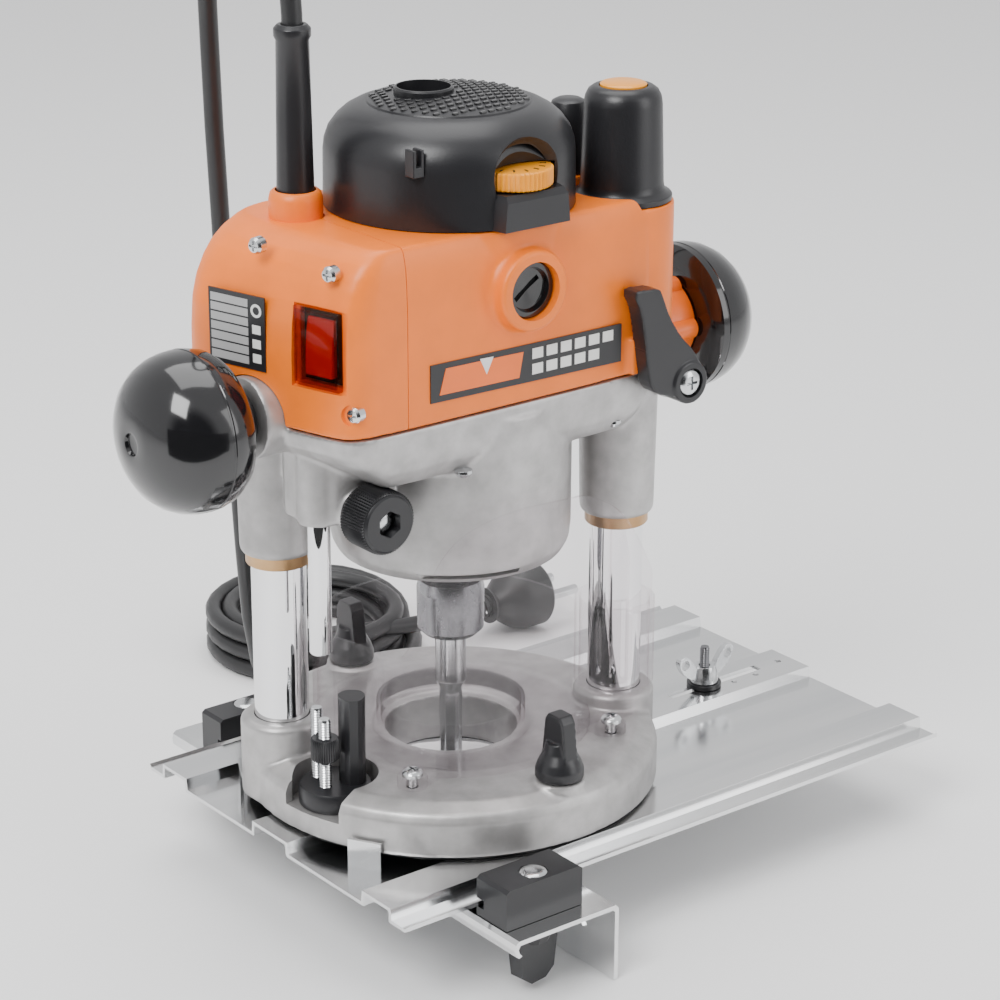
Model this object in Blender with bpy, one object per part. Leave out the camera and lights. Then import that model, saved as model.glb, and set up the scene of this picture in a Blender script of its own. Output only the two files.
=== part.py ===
"""Plunge router on an extended guide base, with its edge fence, modelled as an assembly.

Frame: metres, +Z up, spindle axis at x = y = 0, handles along X, front at -Y, z = 0 at the
underside of the guide plate, which lies on the work. The sizes below are in millimetres, with
heights measured from the underside of the base casting, which stands BASE_Z above z = 0.
"""

import math

import bmesh
import bpy
from mathutils import Matrix, Vector

MM = 0.001
BASE_Z = 7.6
GAP = 0.3
ROUNDNESS = 0.5

COLUMN = (67.6, -23.4)
COLUMN_R = 11.0
SLEEVE_R = 15.2
SLEEVE_Z = 105.2
HANDLE_Z = 171.9
JOINT_Z = 171.0
CAP_Z = 241.0
BELL_R = 48.4
BASE_R = 85.0
ROD = (-72.0, -11.4)
TURRET = (-67.0, -12.5)
PLATE_X = (-92.5, 190.0)
RAIL_TOP = -1.3
FLOOR = -44.6
PANEL_TOP = -6.2
SHEET = 1.4
FENCE_TOP = -12.0
PIVOT_X = 139.0


def clear_scene():
    for obj in list(bpy.data.objects):
        bpy.data.objects.remove(obj, do_unlink=True)


def mesh_object(name, points, faces):
    mesh = bpy.data.meshes.new(name)
    scaled = [(x * MM, y * MM, (z + BASE_Z) * MM) for x, y, z in points]
    mesh.from_pydata(scaled, [], faces)
    shape = bmesh.new()
    shape.from_mesh(mesh)
    bmesh.ops.recalc_face_normals(shape, faces=shape.faces)
    shape.to_mesh(mesh)
    shape.free()
    obj = bpy.data.objects.new(name, mesh)
    bpy.context.scene.collection.objects.link(obj)
    return obj


def turn_point(axis, centre, radius, angle, along):
    """A point on a turned shape: the axis is X, Y or Z, and along is measured on it."""
    across = radius * math.cos(angle)
    up = radius * math.sin(angle)
    cx, cy, cz = centre
    if axis == "Z":
        return (cx + across, cy + up, cz + along)
    if axis == "X":
        return (cx + along, cy + across, cz + up)
    return (cx + up, cy + along, cz + across)


def turned(name, profile, centre=(0, 0, 0), axis="Z", steps=24, ripple=0.0):
    """Turns a closed outline of (radius, along) points about an axis; ripple makes flutes."""
    if steps > 8:
        steps = round(steps * ROUNDNESS)
    points = []
    rings = []
    for radius, along in profile:
        if radius < 1e-6:
            rings.append([len(points)])
            points.append(turn_point(axis, centre, 0, 0, along))
            continue
        ring = []
        for step in range(steps):
            wave = 1 - ripple * (step % 2)
            ring.append(len(points))
            angle = 2 * math.pi * step / steps
            points.append(turn_point(axis, centre, radius * wave, angle, along))
        rings.append(ring)
    faces = []
    count = len(rings)
    for index in range(count):
        low, high = rings[index], rings[(index + 1) % count]
        if len(low) == 1 and len(high) == 1:
            continue
        for step in range(steps):
            after = (step + 1) % steps
            corners = [low[step % len(low)], low[after % len(low)]]
            corners += [high[after % len(high)], high[step % len(high)]]
            face = list(dict.fromkeys(corners))
            if len(face) > 2:
                faces.append(face)
    return mesh_object(name, points, faces)


def rod(name, radius, low, high, centre=(0, 0, 0), axis="Z", steps=24):
    """A plain round bar between two places on its axis."""
    profile = [(0, low), (radius, low), (radius, high), (0, high)]
    return turned(name, profile, centre, axis, steps)


def pipe(name, outer, inner, low, high, centre=(0, 0, 0), axis="Z", steps=24):
    profile = [(inner, low), (outer, low), (outer, high), (inner, high)]
    return turned(name, profile, centre, axis, steps)


def loft(name, sections):
    """Joins outlines of the same count, each with its own height: (height, [(x, y), ...])."""
    count = len(sections[0][1])
    points = [(x, y, z) for z, outline in sections for x, y in outline]
    faces = [list(range(count))]
    for level in range(len(sections) - 1):
        first = level * count
        for side in range(count):
            after = (side + 1) % count
            corners = [first + side, first + after]
            faces.append(corners + [first + count + after, first + count + side])
    last = (len(sections) - 1) * count
    faces.append(list(range(last, last + count)))
    return mesh_object(name, points, faces)


def prism(name, outline, low, high, axis="Z"):
    """Extrudes an outline: (x, y) along Z, (x, z) along Y, or (y, z) along X."""
    count = len(outline)
    points = []
    for along in (low, high):
        for u, v in outline:
            if axis == "Z":
                points.append((u, v, along))
            elif axis == "Y":
                points.append((u, along, v))
            else:
                points.append((along, u, v))
    faces = [list(range(count)), list(range(count, 2 * count))]
    for side in range(count):
        after = (side + 1) % count
        faces.append([side, after, count + after, count + side])
    return mesh_object(name, points, faces)


def box(name, x, y, z):
    return prism(name, [(x[0], y[0]), (x[1], y[0]), (x[1], y[1]), (x[0], y[1])], z[0], z[1])


def circle(centre, radius, steps=32, start=0.0):
    angles = [start + 2 * math.pi * step / steps for step in range(steps)]
    return [(centre[0] + radius * math.cos(a), centre[1] + radius * math.sin(a)) for a in angles]


def combine(obj, tools, operation):
    """Adds or cuts the tools one after another, and keeps the result as the object's own mesh."""
    for tool in tools:
        modifier = obj.modifiers.new(tool.name, "BOOLEAN")
        modifier.operation = operation
        modifier.solver = "EXACT"
        modifier.object = tool
        graph = bpy.context.evaluated_depsgraph_get()
        mesh = bpy.data.meshes.new_from_object(obj.evaluated_get(graph))
        shape = bmesh.new()
        shape.from_mesh(mesh)
        bmesh.ops.remove_doubles(shape, verts=shape.verts, dist=0.003 * MM)
        bmesh.ops.dissolve_degenerate(shape, edges=shape.edges, dist=0.003 * MM)
        shape.to_mesh(mesh)
        shape.free()
        obj.modifiers.clear()
        obj.data = mesh
        bpy.data.objects.remove(tool, do_unlink=True)
    return obj


def add(obj, *tools):
    return combine(obj, tools, "UNION")


def cut(obj, *tools):
    return combine(obj, tools, "DIFFERENCE")


def turn_about(obj, pivot, axis, degrees):
    """Turns an object about an axis through a pivot given in millimetres above the casting."""
    place = Vector((pivot[0] * MM, pivot[1] * MM, (pivot[2] + BASE_Z) * MM))
    turn = Matrix.Rotation(math.radians(degrees), 4, axis)
    obj.data.transform(Matrix.Translation(place) @ turn @ Matrix.Translation(-place))
    return obj


def both_columns():
    return (("left", -1, 34.6), ("right", 1, 28.0))


# ---------------------------------------------------------------- base


def base_casting():
    body = turned(
        "base_casting",
        [(27, 0), (BASE_R, 0), (BASE_R, 15), (82.5, 19), (76, 21), (27, 21)],
        steps=48,
    )
    parts = []
    for side, sign, top in both_columns():
        centre = (sign * COLUMN[0], sign * COLUMN[1], 0)
        profile = [(0, 1), (16.8, 1), (16.8, top - 2), (15, top), (0, top)]
        parts.append(turned(f"{side}_boss", profile, centre, steps=30))
    parts.append(rod("front_knob_boss", 10.5, 8, 22.5, (-1.5, -72.5, 0), steps=24))
    parts.append(rod("rear_knob_boss", 10.5, 8, 22.5, (1.5, 72.5, 0), steps=24))
    add(body, *parts)
    cuts = []
    for side, sign, top in both_columns():
        centre = (sign * COLUMN[0], sign * COLUMN[1], 0)
        cuts.append(rod(f"{side}_seat", COLUMN_R + 0.35, 5.7, 60, centre, steps=28))
    cuts.append(rod("turret_pocket", 17.2, 9.0, 60, (*TURRET, 0), steps=28))
    pocket_mouth = [(-100, -36), (-63, -28), (-78, -3), (-100, -5)]
    cuts.append(prism("pocket_mouth", pocket_mouth, 9.15, 60))
    cuts.append(rod("front_stem_hole", 3.3, 12, 60, (-1.5, -72.5, 0), steps=16))
    cuts.append(rod("rear_stem_hole", 3.3, 12, 60, (1.5, 72.5, 0), steps=16))
    cuts.append(rod("turret_axle_hole", 3.3, 4, 20, (*TURRET, 0), steps=16))
    for name, place in SHIELD_SCREWS:
        cuts.append(rod(f"{name}_hole", 2.4, 10, 40, (*place, 0), steps=12))
    return cut(body, *cuts)


SHIELD_SCREWS = (
    ("front_screw", (-50.5, -41.5)),
    ("side_screw", (43.5, -50.6)),
)


def sole_plate():
    return pipe("sole_plate", 83.6, 29.0, -1.1, -0.1, steps=48)


def columns():
    for side, sign, top in both_columns():
        centre = (sign * COLUMN[0], sign * COLUMN[1], 0)
        profile = [(0, 6), (COLUMN_R, 6), (COLUMN_R, 194), (8, 194), (8, 40), (0, 40)]
        turned(f"{side}_column", profile, centre)


def springs():
    """A compression spring stands in each hollow column and pushes the head up."""
    for side, sign, top in both_columns():
        turns = 7
        per_turn = 7
        curve = bpy.data.curves.new(f"{side}_spring", "CURVE")
        curve.dimensions = "3D"
        curve.bevel_depth = 0.8 * MM
        curve.bevel_resolution = 0
        curve.use_fill_caps = True
        spline = curve.splines.new("POLY")
        count = turns * per_turn + 1
        spline.points.add(count - 1)
        for index in range(count):
            angle = 2 * math.pi * index / per_turn
            height = 41.5 + (225.5 - 41.5) * index / (count - 1)
            x = sign * COLUMN[0] + 6.4 * math.cos(angle)
            y = sign * COLUMN[1] + 6.4 * math.sin(angle)
            spline.points[index].co = (x * MM, y * MM, (height + BASE_Z) * MM, 1)
        obj = bpy.data.objects.new(f"{side}_spring", curve)
        bpy.context.scene.collection.objects.link(obj)


SHIELD_WALL = (
    (-54.6, 5.0, 70), (-51.0, -4.0, 70), (-48.6, -14.0, 70), (-48.8, -25.0, 70), (-46.0, -31.6, 71),
    (-42.6, -36.6, 88), (-38.6, -40.8, 110), (-31.6, -46.4, 122), (-21.4, -51.8, 129), (-8.0, -55.4, 131.5),
    (6.0, -55.6, 130.5), (18.6, -52.8, 128), (28.6, -48.6, 126), (38, -45.6, 122.5), (50, -44.0, 115),
    (60, -43.4, 103), (70, -43.2, 84),
)
SHIELD_REAR = tuple(
    (56.0 * math.cos(math.radians(a)), 56.0 * math.sin(math.radians(a)), 64.0) for a in range(-13, 145, 15)
)


def thick_wall(name, places, low, thickness):
    """A standing wall along places, with a top that follows each place's own height."""
    half = thickness / 2
    points = []
    for index, (x, y, top) in enumerate(places):
        before = places[max(index - 1, 0)]
        after = places[min(index + 1, len(places) - 1)]
        run = Vector((after[0] - before[0], after[1] - before[1])).normalized()
        side = Vector((-run.y, run.x)) * half
        points += [(x + side.x, y + side.y, low), (x - side.x, y - side.y, low)]
        points += [(x - side.x, y - side.y, top), (x + side.x, y + side.y, top)]
    faces = [[0, 1, 2, 3]]
    for index in range(len(places) - 1):
        first = 4 * index
        for corner in range(4):
            after = (corner + 1) % 4
            faces.append([first + corner, first + after, first + 4 + after, first + 4 + corner])
    last = 4 * (len(places) - 1)
    faces.append([last, last + 1, last + 2, last + 3])
    return mesh_object(name, points, faces)


def chip_shield():
    body = pipe("chip_shield", 57.3, 28.6, 21.3, 23.3, steps=48)
    ring = pipe("shield_ring", 30.6, 28.9, 22.1, 31.0, steps=40)
    wall = thick_wall("shield_wall", SHIELD_WALL, 21.9, 2.0)
    back = thick_wall("shield_back", SHIELD_REAR, 22.3, 2.0)
    sleeve = pipe("shield_sleeve", 16.6, 14.4, 29.5, 66.5, (*COLUMN, 0), steps=28)
    foot = box("shield_foot", (36, 50), (-52, -38), (21.5, 23.6))
    front_foot = prism("shield_front_foot", [(-54, -37), (-46, -46.2), (-34, -42), (-41, -33)], 21.6, 23.7)
    front_lug = rod("shield_front_lug", 6.0, 21.4, 25.5, (*SHIELD_SCREWS[0][1], 0), steps=14)
    side_lug = rod("shield_side_lug", 6.0, 21.4, 25.5, (*SHIELD_SCREWS[1][1], 0), steps=14)
    bridge = box("shield_bridge", (61, 66), (-43.4, -37.9), (30.5, 65.5))
    add(body, ring, wall, back, sleeve, foot, front_foot, front_lug, side_lug, bridge)
    tools = []
    tools.append(rod("shield_boss_room", 17.3, 10, 29.2, (*COLUMN, 0), steps=26))
    tools.append(rod("shield_left_room", 17.3, 10, 60, (-COLUMN[0], -COLUMN[1], 0), steps=26))
    tools.append(rod("shield_turret_room", 16.6, 10, 60, (*TURRET, 0), steps=26))
    for name, place in SHIELD_SCREWS:
        tools.append(rod(f"{name}_shield_hole", 2.5, 10, 40, (*place, 0), steps=12))
    return cut(body, *tools)


def shield_screws():
    for name, place in SHIELD_SCREWS:
        profile = [(0, 14), (1.9, 14), (1.9, 25.8), (4.2, 25.8), (4.2, 27.4), (2.6, 28.6), (0, 28.8)]
        turned(f"shield_{name}", profile, (*place, 0), steps=16)


# ---------------------------------------------------------------- base knobs and turret


def base_knob(name, place, degrees):
    skirt = turned(
        name,
        [(0, 13), (2.9, 13), (2.9, 23.0), (9.6, 23.0), (9.8, 27), (7.2, 33), (5.4, 38), (0, 38)],
        (*place, 0),
        steps=24,
    )
    x, y = place
    outline = [(x - 8.4, 23.5), (x + 8.4, 23.5), (x + 5.6, 48), (x + 4, 50), (x - 4, 50), (x - 5.6, 48)]
    grip = prism(f"{name}_grip", outline, y - 3.2, y + 3.2, axis="Y")
    turn_about(grip, (x, y, 0), "Z", degrees)
    return add(skirt, grip)


def depth_turret():
    x, y = TURRET
    disc = turned(
        "depth_turret",
        [(0, 4.3), (3.0, 4.3), (3.0, 9.3), (14.6, 9.3), (14.8, 15.6), (14.0, 17), (0, 17)],
        (x, y, 0),
        steps=32,
    )
    post_outline = [(x + 1.2, y - 6.6), (x + 6.0, y - 9.4), (x + 11.4, y - 5.6), (x + 12.2, y - 0.4)]
    post_outline += [(x + 7.4, y + 3.4), (x + 2.0, y + 1.6)]
    post = prism("turret_post", post_outline, 15, 53.4)
    add(disc, post)
    holes = []
    for name, (sx, sy), top in TURRET_SCREWS:
        holes.append(rod(f"{name}_seat", 2.2, 12, 40, (x + sx, y + sy, 0), steps=12))
    return cut(disc, *holes)


TURRET_SCREWS = (
    ("turret_screw_front", (-5.6, -1.2), 46.2),
    ("turret_screw_rear", (-2.6, 8.4), 47.0),
)


def turret_screws():
    x, y = TURRET
    for name, (sx, sy), top in TURRET_SCREWS:
        profile = [(0, 12.3), (1.9, 12.3), (1.9, 17.3), (2.5, 17.6), (2.5, top - 0.8), (1.8, top), (0, top)]
        turned(name, profile, (x + sx, y + sy, 0), steps=14)
    sx, sy = TURRET_SCREWS[0][1]
    profile = [(2.7, 29.0), (5.2, 29.0), (5.6, 29.8), (5.6, 37.4), (5.2, 38.2), (2.7, 38.2)]
    turned("turret_nut", profile, (x + sx, y + sy, 0), steps=28, ripple=0.0)


# ---------------------------------------------------------------- guide plate, pivot and fence

RAILS = ((-83.8, -65.4), (-15.0, 9.4), (58.0, 76.0))
LIPS = (-94.2, 86.4)


def plate_profile():
    """The pressed sheet in the YZ plane: upper side from front to back, then the under side."""
    upper = [(LIPS[0], PANEL_TOP + 1.2), (LIPS[0] + 1.2, PANEL_TOP)]
    for front, back in RAILS:
        upper += [(front - 0.6, PANEL_TOP), (front, RAIL_TOP), (back, RAIL_TOP), (back + 0.6, PANEL_TOP)]
    upper += [(LIPS[1] - 1.2, PANEL_TOP), (LIPS[1], PANEL_TOP + 1.2)]
    lower = [(LIPS[1], PANEL_TOP - 0.6), (LIPS[1] - 1.2, PANEL_TOP - SHEET)]
    for front, back in reversed(RAILS):
        under = RAIL_TOP - SHEET
        edge = PANEL_TOP - SHEET
        lower += [(back - 0.8, edge), (back - 1.4, under), (front + 1.4, under), (front + 0.8, edge)]
    lower += [(LIPS[0] + 1.2, PANEL_TOP - SHEET), (LIPS[0], PANEL_TOP - 0.6)]
    return upper + lower


def guide_plate():
    body = prism("guide_plate", plate_profile(), PLATE_X[0], PLATE_X[1], axis="X")
    tabs = []
    for number, (x, y, turn) in enumerate(((-75.3, -43.5, -30), (-75.3, 43.5, 30))):
        tab = box(f"plate_tab_{number}", (x - 0.7, x + 0.7), (y - 7, y + 7), (PANEL_TOP - 0.5, 5.5))
        turn_about(tab, (x, y, 0), "Z", -turn)
        tabs.append(tab)
    add(body, *tabs)
    opening = rod("plate_opening", 40, -20, 10, steps=40)
    slot = box("pivot_slot", (119, 171), (-4.0, 1.0), (-20, 10))
    cuts = [opening, slot]
    for number, x in enumerate((152, 165)):
        cuts.append(rod(f"plate_hole_{number}", 1.5, -20, 10, (x, -7.0, 0), steps=10))
    cuts.append(rod("plate_end_hole", 1.8, -20, 10, (183, -2, 0), steps=10))
    return cut(body, *cuts)


def pivot():
    centre = (PIVOT_X, -1.5, 0)
    profile = [(0, -7.2), (5.4, -7.2), (5.4, -3.0), (2.2, -3.0), (2.2, 16.8), (1.6, 17.4), (0, 17.4)]
    turned("pivot_bolt", profile, centre, steps=16)
    pipe("pivot_washer", 7.6, 2.6, RAIL_TOP + 0.15, 0.9, centre, steps=28)
    nut = turned("pivot_wing_nut", [(2.5, 1.2), (6.2, 1.2), (5.4, 7.4), (4.4, 8.6), (2.5, 8.6)], centre, steps=20)
    wings = []
    for sign in (-1, 1):
        outline = [(4.2, 3.4), (6.4, 2.6), (12.4, 6.6), (15.8, 12.0), (15.0, 15.4), (11.0, 15.6), (7.0, 9.6)]
        points = [(PIVOT_X + sign * u, v) for u, v in outline]
        wings.append(prism(f"wing_{sign + 1}", points, -2.8, -0.2, axis="Y"))
    add(nut, *wings)
    return cut(nut, rod("nut_bore", 2.5, 0, 30, centre, steps=20))


FENCE_X = (-60.0, -9.0)
FENCE_Y = (-118.5, 121.0)


def fence_profile():
    """Rolled edge at the left, flat top, and a flange hanging at the right, in the XZ plane."""
    left, right = FENCE_X
    top = FENCE_TOP
    low = FLOOR
    outer = [(left + 2, top), (left + 0.4, top - 1.2), (left, top - 3.5), (left + 0.4, top - 6.0), (left + 2, top - 7.2)]
    roll = [(left + 3.4, top - 6.6), (left + 2.2, top - 5.2), (left + 1.7, top - 3.5), (left + 2.6, top - 1.9)]
    under = [(right - 3.0, top - 1.9), (right - 1.9, top - 3.0), (right - 1.9, low)]
    face = [(right, low), (right, top - 1.6), (right - 1.6, top)]
    return outer + roll + under + face


def fence_rail():
    body = prism("fence_rail", fence_profile(), FENCE_Y[0], FENCE_Y[1], axis="Y")
    cuts = []
    for number, y in enumerate((-102.3, 94.5)):
        cuts.append(rod(f"fence_screw_hole_{number}", 2.6, -30, 0, (FENCE_SCREW_X, y, 0), steps=14))
    for number, y in enumerate((-100, -60, 60, 104)):
        cuts.append(rod(f"fence_face_hole_{number}", 2.2, -20, 0, (0, y, -27), axis="X", steps=10))
    return cut(body, *cuts)


FENCE_SCREW_X = -38.5


def fence_block(name, low_y, high_y, groove_y, sign):
    """A moulded block on the fence whose groove takes the lip of the plate."""
    outline = [(-57.5, -11.8), (-20.5, -11.8), (-20.5, 3.8), (-22, 5), (-56, 5), (-57.5, 3.8)]
    block = prism(name, outline, low_y, high_y, axis="Y")
    groove = box(f"{name}_groove", (-70, -10), groove_y, (PANEL_TOP - 2.0, PANEL_TOP + 1.7))
    middle = (low_y + high_y) / 2 + sign * 1.5
    recess = rod(f"{name}_recess", 5.8, 3.6, 10, (FENCE_SCREW_X, middle, 0), steps=20)
    bore = rod(f"{name}_bore", 2.9, -20, 10, (FENCE_SCREW_X, middle, 0), steps=14)
    cut(block, groove, recess, bore)
    rivet_profile = [(0, -26), (2.3, -26), (2.3, 3.9), (5.4, 3.9), (5.4, 5.2), (4.2, 5.7), (0, 5.9)]
    turned(name.replace("block", "rivet"), rivet_profile, (FENCE_SCREW_X, middle, 0), steps=20)
    return middle


def fence_knob(name, y, degrees):
    profile = [(2.5, -23.6), (2.5, -14.4), (8.4, -14.4), (8.4, -19), (6.4, -23.6)]
    hub = turned(name, profile, (FENCE_SCREW_X, y, 0), steps=20)
    x = FENCE_SCREW_X
    outline = [(x - 11, -20), (x + 11, -20), (x + 8.5, -37.5), (x + 4.0, -41), (x - 4.0, -41), (x - 8.5, -37.5)]
    wing = prism(f"{name}_wing", outline, y - 3.4, y + 3.4, axis="Y")
    turn_about(wing, (x, y, 0), "Z", degrees)
    add(hub, wing)
    return cut(hub, rod(f"{name}_bore", 2.5, -26.6, 0, (x, y, 0), steps=20))


# ---------------------------------------------------------------- head: casting

PLAN = (
    (-66, -47.2), (58, -47.2), (72, -40.5), (80, -22), (77, 8), (66, 21), (46, 33), (26, 43), (5, 48.4),
    (-58, 47.5), (-84, 44), (-97, 37), (-101, 25), (-94, -0.5), (-82.6, -41.2), (-77, -45.4),
)


def plan(shrink_left, shrink, right_shrink=0.0):
    """The outline of the head, with its left end and its other sides drawn in."""
    points = []
    for x, y in PLAN:
        reach = max(0.0, (-x - 55) / 46)
        grow = 1 - shrink / 60
        near_right = max(0.0, (x - 50) / 28)
        points.append((x + shrink_left * reach - right_shrink * near_right, y * grow))
    return points


def handle_boss(side, sign):
    """A round boss for the handle's stud; inside the housing it stops below the joint."""
    boss = rod(f"{side}_handle_boss", 16.0, sign * 62, sign * 97.0, (0, 0, HANDLE_Z), axis="X", steps=22)
    inner, outer = sorted((sign * 40.0, sign * 78.0))
    return cut(boss, box(f"{side}_boss_top", (inner, outer), (-25, 25), (JOINT_Z - 0.8, 220)))


def motor_casting():
    skirt = loft(
        "motor_casting",
        [(147, plan(34, 8, 14)), (154, plan(24, 3, 6)), (161, plan(8, 1, 2)), (JOINT_Z - GAP, plan(0, 0, 0))],
    )
    bell = turned(
        "casting_bell",
        [(0, 98), (40, 98), (45.4, 99.6), (48.0, 104), (BELL_R, 110), (BELL_R, 165), (0, 165)],
        steps=36,
    )
    parts = [bell]
    for side, sign, top in both_columns():
        centre = (sign * COLUMN[0], sign * COLUMN[1], 0)
        profile = [(0, SLEEVE_Z), (14.4, SLEEVE_Z), (SLEEVE_R, 107), (SLEEVE_R + 1, 165), (0, 165)]
        parts.append(turned(f"{side}_sleeve", profile, centre))
        parts.append(handle_boss(side, sign))
    parts.append(rod("rod_ear", 8.2, 128, 165, (*ROD, 0), steps=24))
    ear = [(-79, -10), (-74, -20), (-60, -26), (-40, -22), (-40, 8), (-66, 14), (-79, 4)]
    parts.append(prism("ear_web", ear, 129, 164))
    parts.append(rod("knob_boss", 9.0, -26, -8, (-61, 0, 133.5), axis="Y", steps=24))
    parts.append(prism("sleeve_web", [(36, -33), (64, -35), (68, -10), (36, 4)], 146.4, 163.3))
    parts.append(lever_boss())
    add(skirt, *parts)
    cuts = [turned("motor_room", [(0, 112.4), (43.5, 112.4), (43.5, 180), (0, 180)], steps=32)]
    cuts.append(rod("spindle_room", 15.2, 90, 104, steps=28))
    cuts.append(rod("bearing_room", 18.1, 103.7, 113, steps=28))
    for side, sign, top in both_columns():
        centre = (sign * COLUMN[0], sign * COLUMN[1], 0)
        cuts.append(rod(f"{side}_bush_room", 13.3, 95, 128, centre))
        cuts.append(rod(f"{side}_bore", 11.6, 95, 200, centre))
        cuts.append(rod(f"{side}_stud_bore", 5.6, sign * 85.0, sign * 110, (0, 0, HANDLE_Z), axis="X", steps=16))
    cuts.append(rod("rod_bore", 4.9, 120, 180, (*ROD, 0), steps=20))
    cuts.append(rod("knob_bore", 3.5, -40, -17, (-61, 0, 133.5), axis="Y", steps=16))
    lx, ly, lz = LEVER
    cuts.append(rod("lever_screw_bore", 3.3, -5, 13, (lx, ly, lz), axis="Y", steps=14))
    slot = box("bell_slot", (-30, 12), (-52, -38), (101.2, 103.2))
    cuts.append(turn_about(slot, (0, 0, 0), "Z", -17))
    return cut(skirt, *cuts)


def bushes():
    for side, sign, top in both_columns():
        centre = (sign * COLUMN[0], sign * COLUMN[1], 0)
        pipe(f"{side}_bush", 13.0, 11.25, 100.2, 127.6, centre)


# ---------------------------------------------------------------- head: orange housing


def housing_block(name):
    """The outer shape shared by the two orange mouldings."""
    body = loft(
        name,
        [
            (JOINT_Z, plan(0, 0)),
            (215, plan(1.5, 0)),
            (228, plan(6, 0.5)),
            (237, plan(16, 1.5)),
            (CAP_Z - 0.4, plan(24, 3)),
        ],
    )
    rim = turned(f"{name}_rim", [(0, 184), (46.0, 184), (48.8, 202), (48.8, CAP_Z - 0.3), (0, CAP_Z - 0.3)], steps=40)
    column = rod(f"{name}_column", 20.8, JOINT_Z + 0.4, 235.6, (*COLUMN, 0), steps=30)
    front = turned(f"{name}_front_ring", [(0, -40), (15.8, -40), (15.8, -52.6), (14.6, -54.0), (0, -54.0)], (0, 0, 216.4), "Y", 26)
    rear = turned(f"{name}_rear_ring", [(0, 40), (15.8, 40), (15.8, 52.6), (14.6, 54.0), (0, 54.0)], (0, 0, 216.4), "Y", 26)
    add(body, rim, column, front, rear)
    return body


BOOT = (-59.8, 17.3)


def housing_room(name):
    """The space inside the two orange mouldings, open at the joint and under the cap."""
    inner = []
    for x, y in plan(0, 0):
        inner.append((x * 0.955, y * 0.93))
    room = loft(f"{name}_room", [(150, inner), (226, inner), (232, [(x * 0.86, y * 0.93) for x, y in inner])])
    return room


def cut_housing(body, name):
    cuts = [housing_room(name)]
    cuts.append(rod(f"{name}_mouth", 44.6, 150.7, 260, steps=36))
    cuts.append(rod(f"{name}_column_room", 17.6, 150.3, 228, (*COLUMN, 0), steps=22))
    cuts.append(rod(f"{name}_boss_room", 16.5, -120, 120, (0, 0, HANDLE_Z), axis="X", steps=26))
    cuts.append(rod(f"{name}_brush_bore", 11.4, -70, 70, (0, 0, 216.4), axis="Y", steps=22))
    return cut(body, *cuts)


SPLIT_X = -55.0


def motor_housing():
    body = cut_housing(housing_block("motor_housing"), "housing")
    split = box("housing_split", (-140, SPLIT_X + 0.15), (-80, 80), (140, 300))
    return cut(
        body,
        split,
        rod("collar_room", 10.9, 140, 300, (*BOOT, 0), steps=24),
        rod("adjuster_room", 21.4, 235.5, 260, (*COLUMN, 0), steps=30),
    )


def switch_side_cover():
    body = cut_housing(housing_block("switch_side_cover"), "cover")
    recess = box("switch_recess", (-30, 4.6), (-9.8, 9.8), (-14.2, 14.2))
    place_on_side(recess)
    cut(body, box("cover_split", (SPLIT_X - 0.15, 140), (-80, 80), (140, 300)), recess)
    collar_profile = [(0, 222), (10.4, 222), (10.4, 247), (9.2, 251), (0, 251)]
    add(body, turned("cord_collar", collar_profile, (*BOOT, 0), steps=24))
    return cut(body, rod("boot_bore_in_cover", 7.9, 200, 270, (*BOOT, 0), steps=20))


SWITCH = (-85.4, -31.4, 204.6)
SIDE_TURN = -15.6


def place_on_side(obj):
    """Moves a shape from the origin to the middle of the switch, turned to its wall."""
    turn = Matrix.Rotation(math.radians(-SIDE_TURN), 4, "Z")
    shift = Matrix.Translation(Vector((SWITCH[0] * MM, SWITCH[1] * MM, SWITCH[2] * MM)))
    lower = Matrix.Translation(Vector((0, 0, -BASE_Z * MM)))
    lift = Matrix.Translation(Vector((0, 0, BASE_Z * MM)))
    obj.data.transform(lift @ shift @ turn @ lower)
    return obj


def switch():
    body = box("switch_body", (5.2, 22.0), (-9.4, 9.4), (-13.8, 13.8))
    cut(body, box("rocker_room", (4.0, 7.8), (-6.9, 6.9), (-11.9, 11.9)))
    place_on_side(body)
    outline = [(1.2, -11.0), (4.6, -11.0), (4.6, 11.0), (3.2, 11.0), (1.6, 0.0)]
    rocker = prism("switch_rocker", outline, -6.4, 6.4, axis="Y")
    place_on_side(rocker)
    window = box("switch_window", (-1.8, -0.4), (-11.2, 11.2), (-15.6, 15.6))
    place_on_side(window)


# ---------------------------------------------------------------- head: cap, knobs and controls


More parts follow.
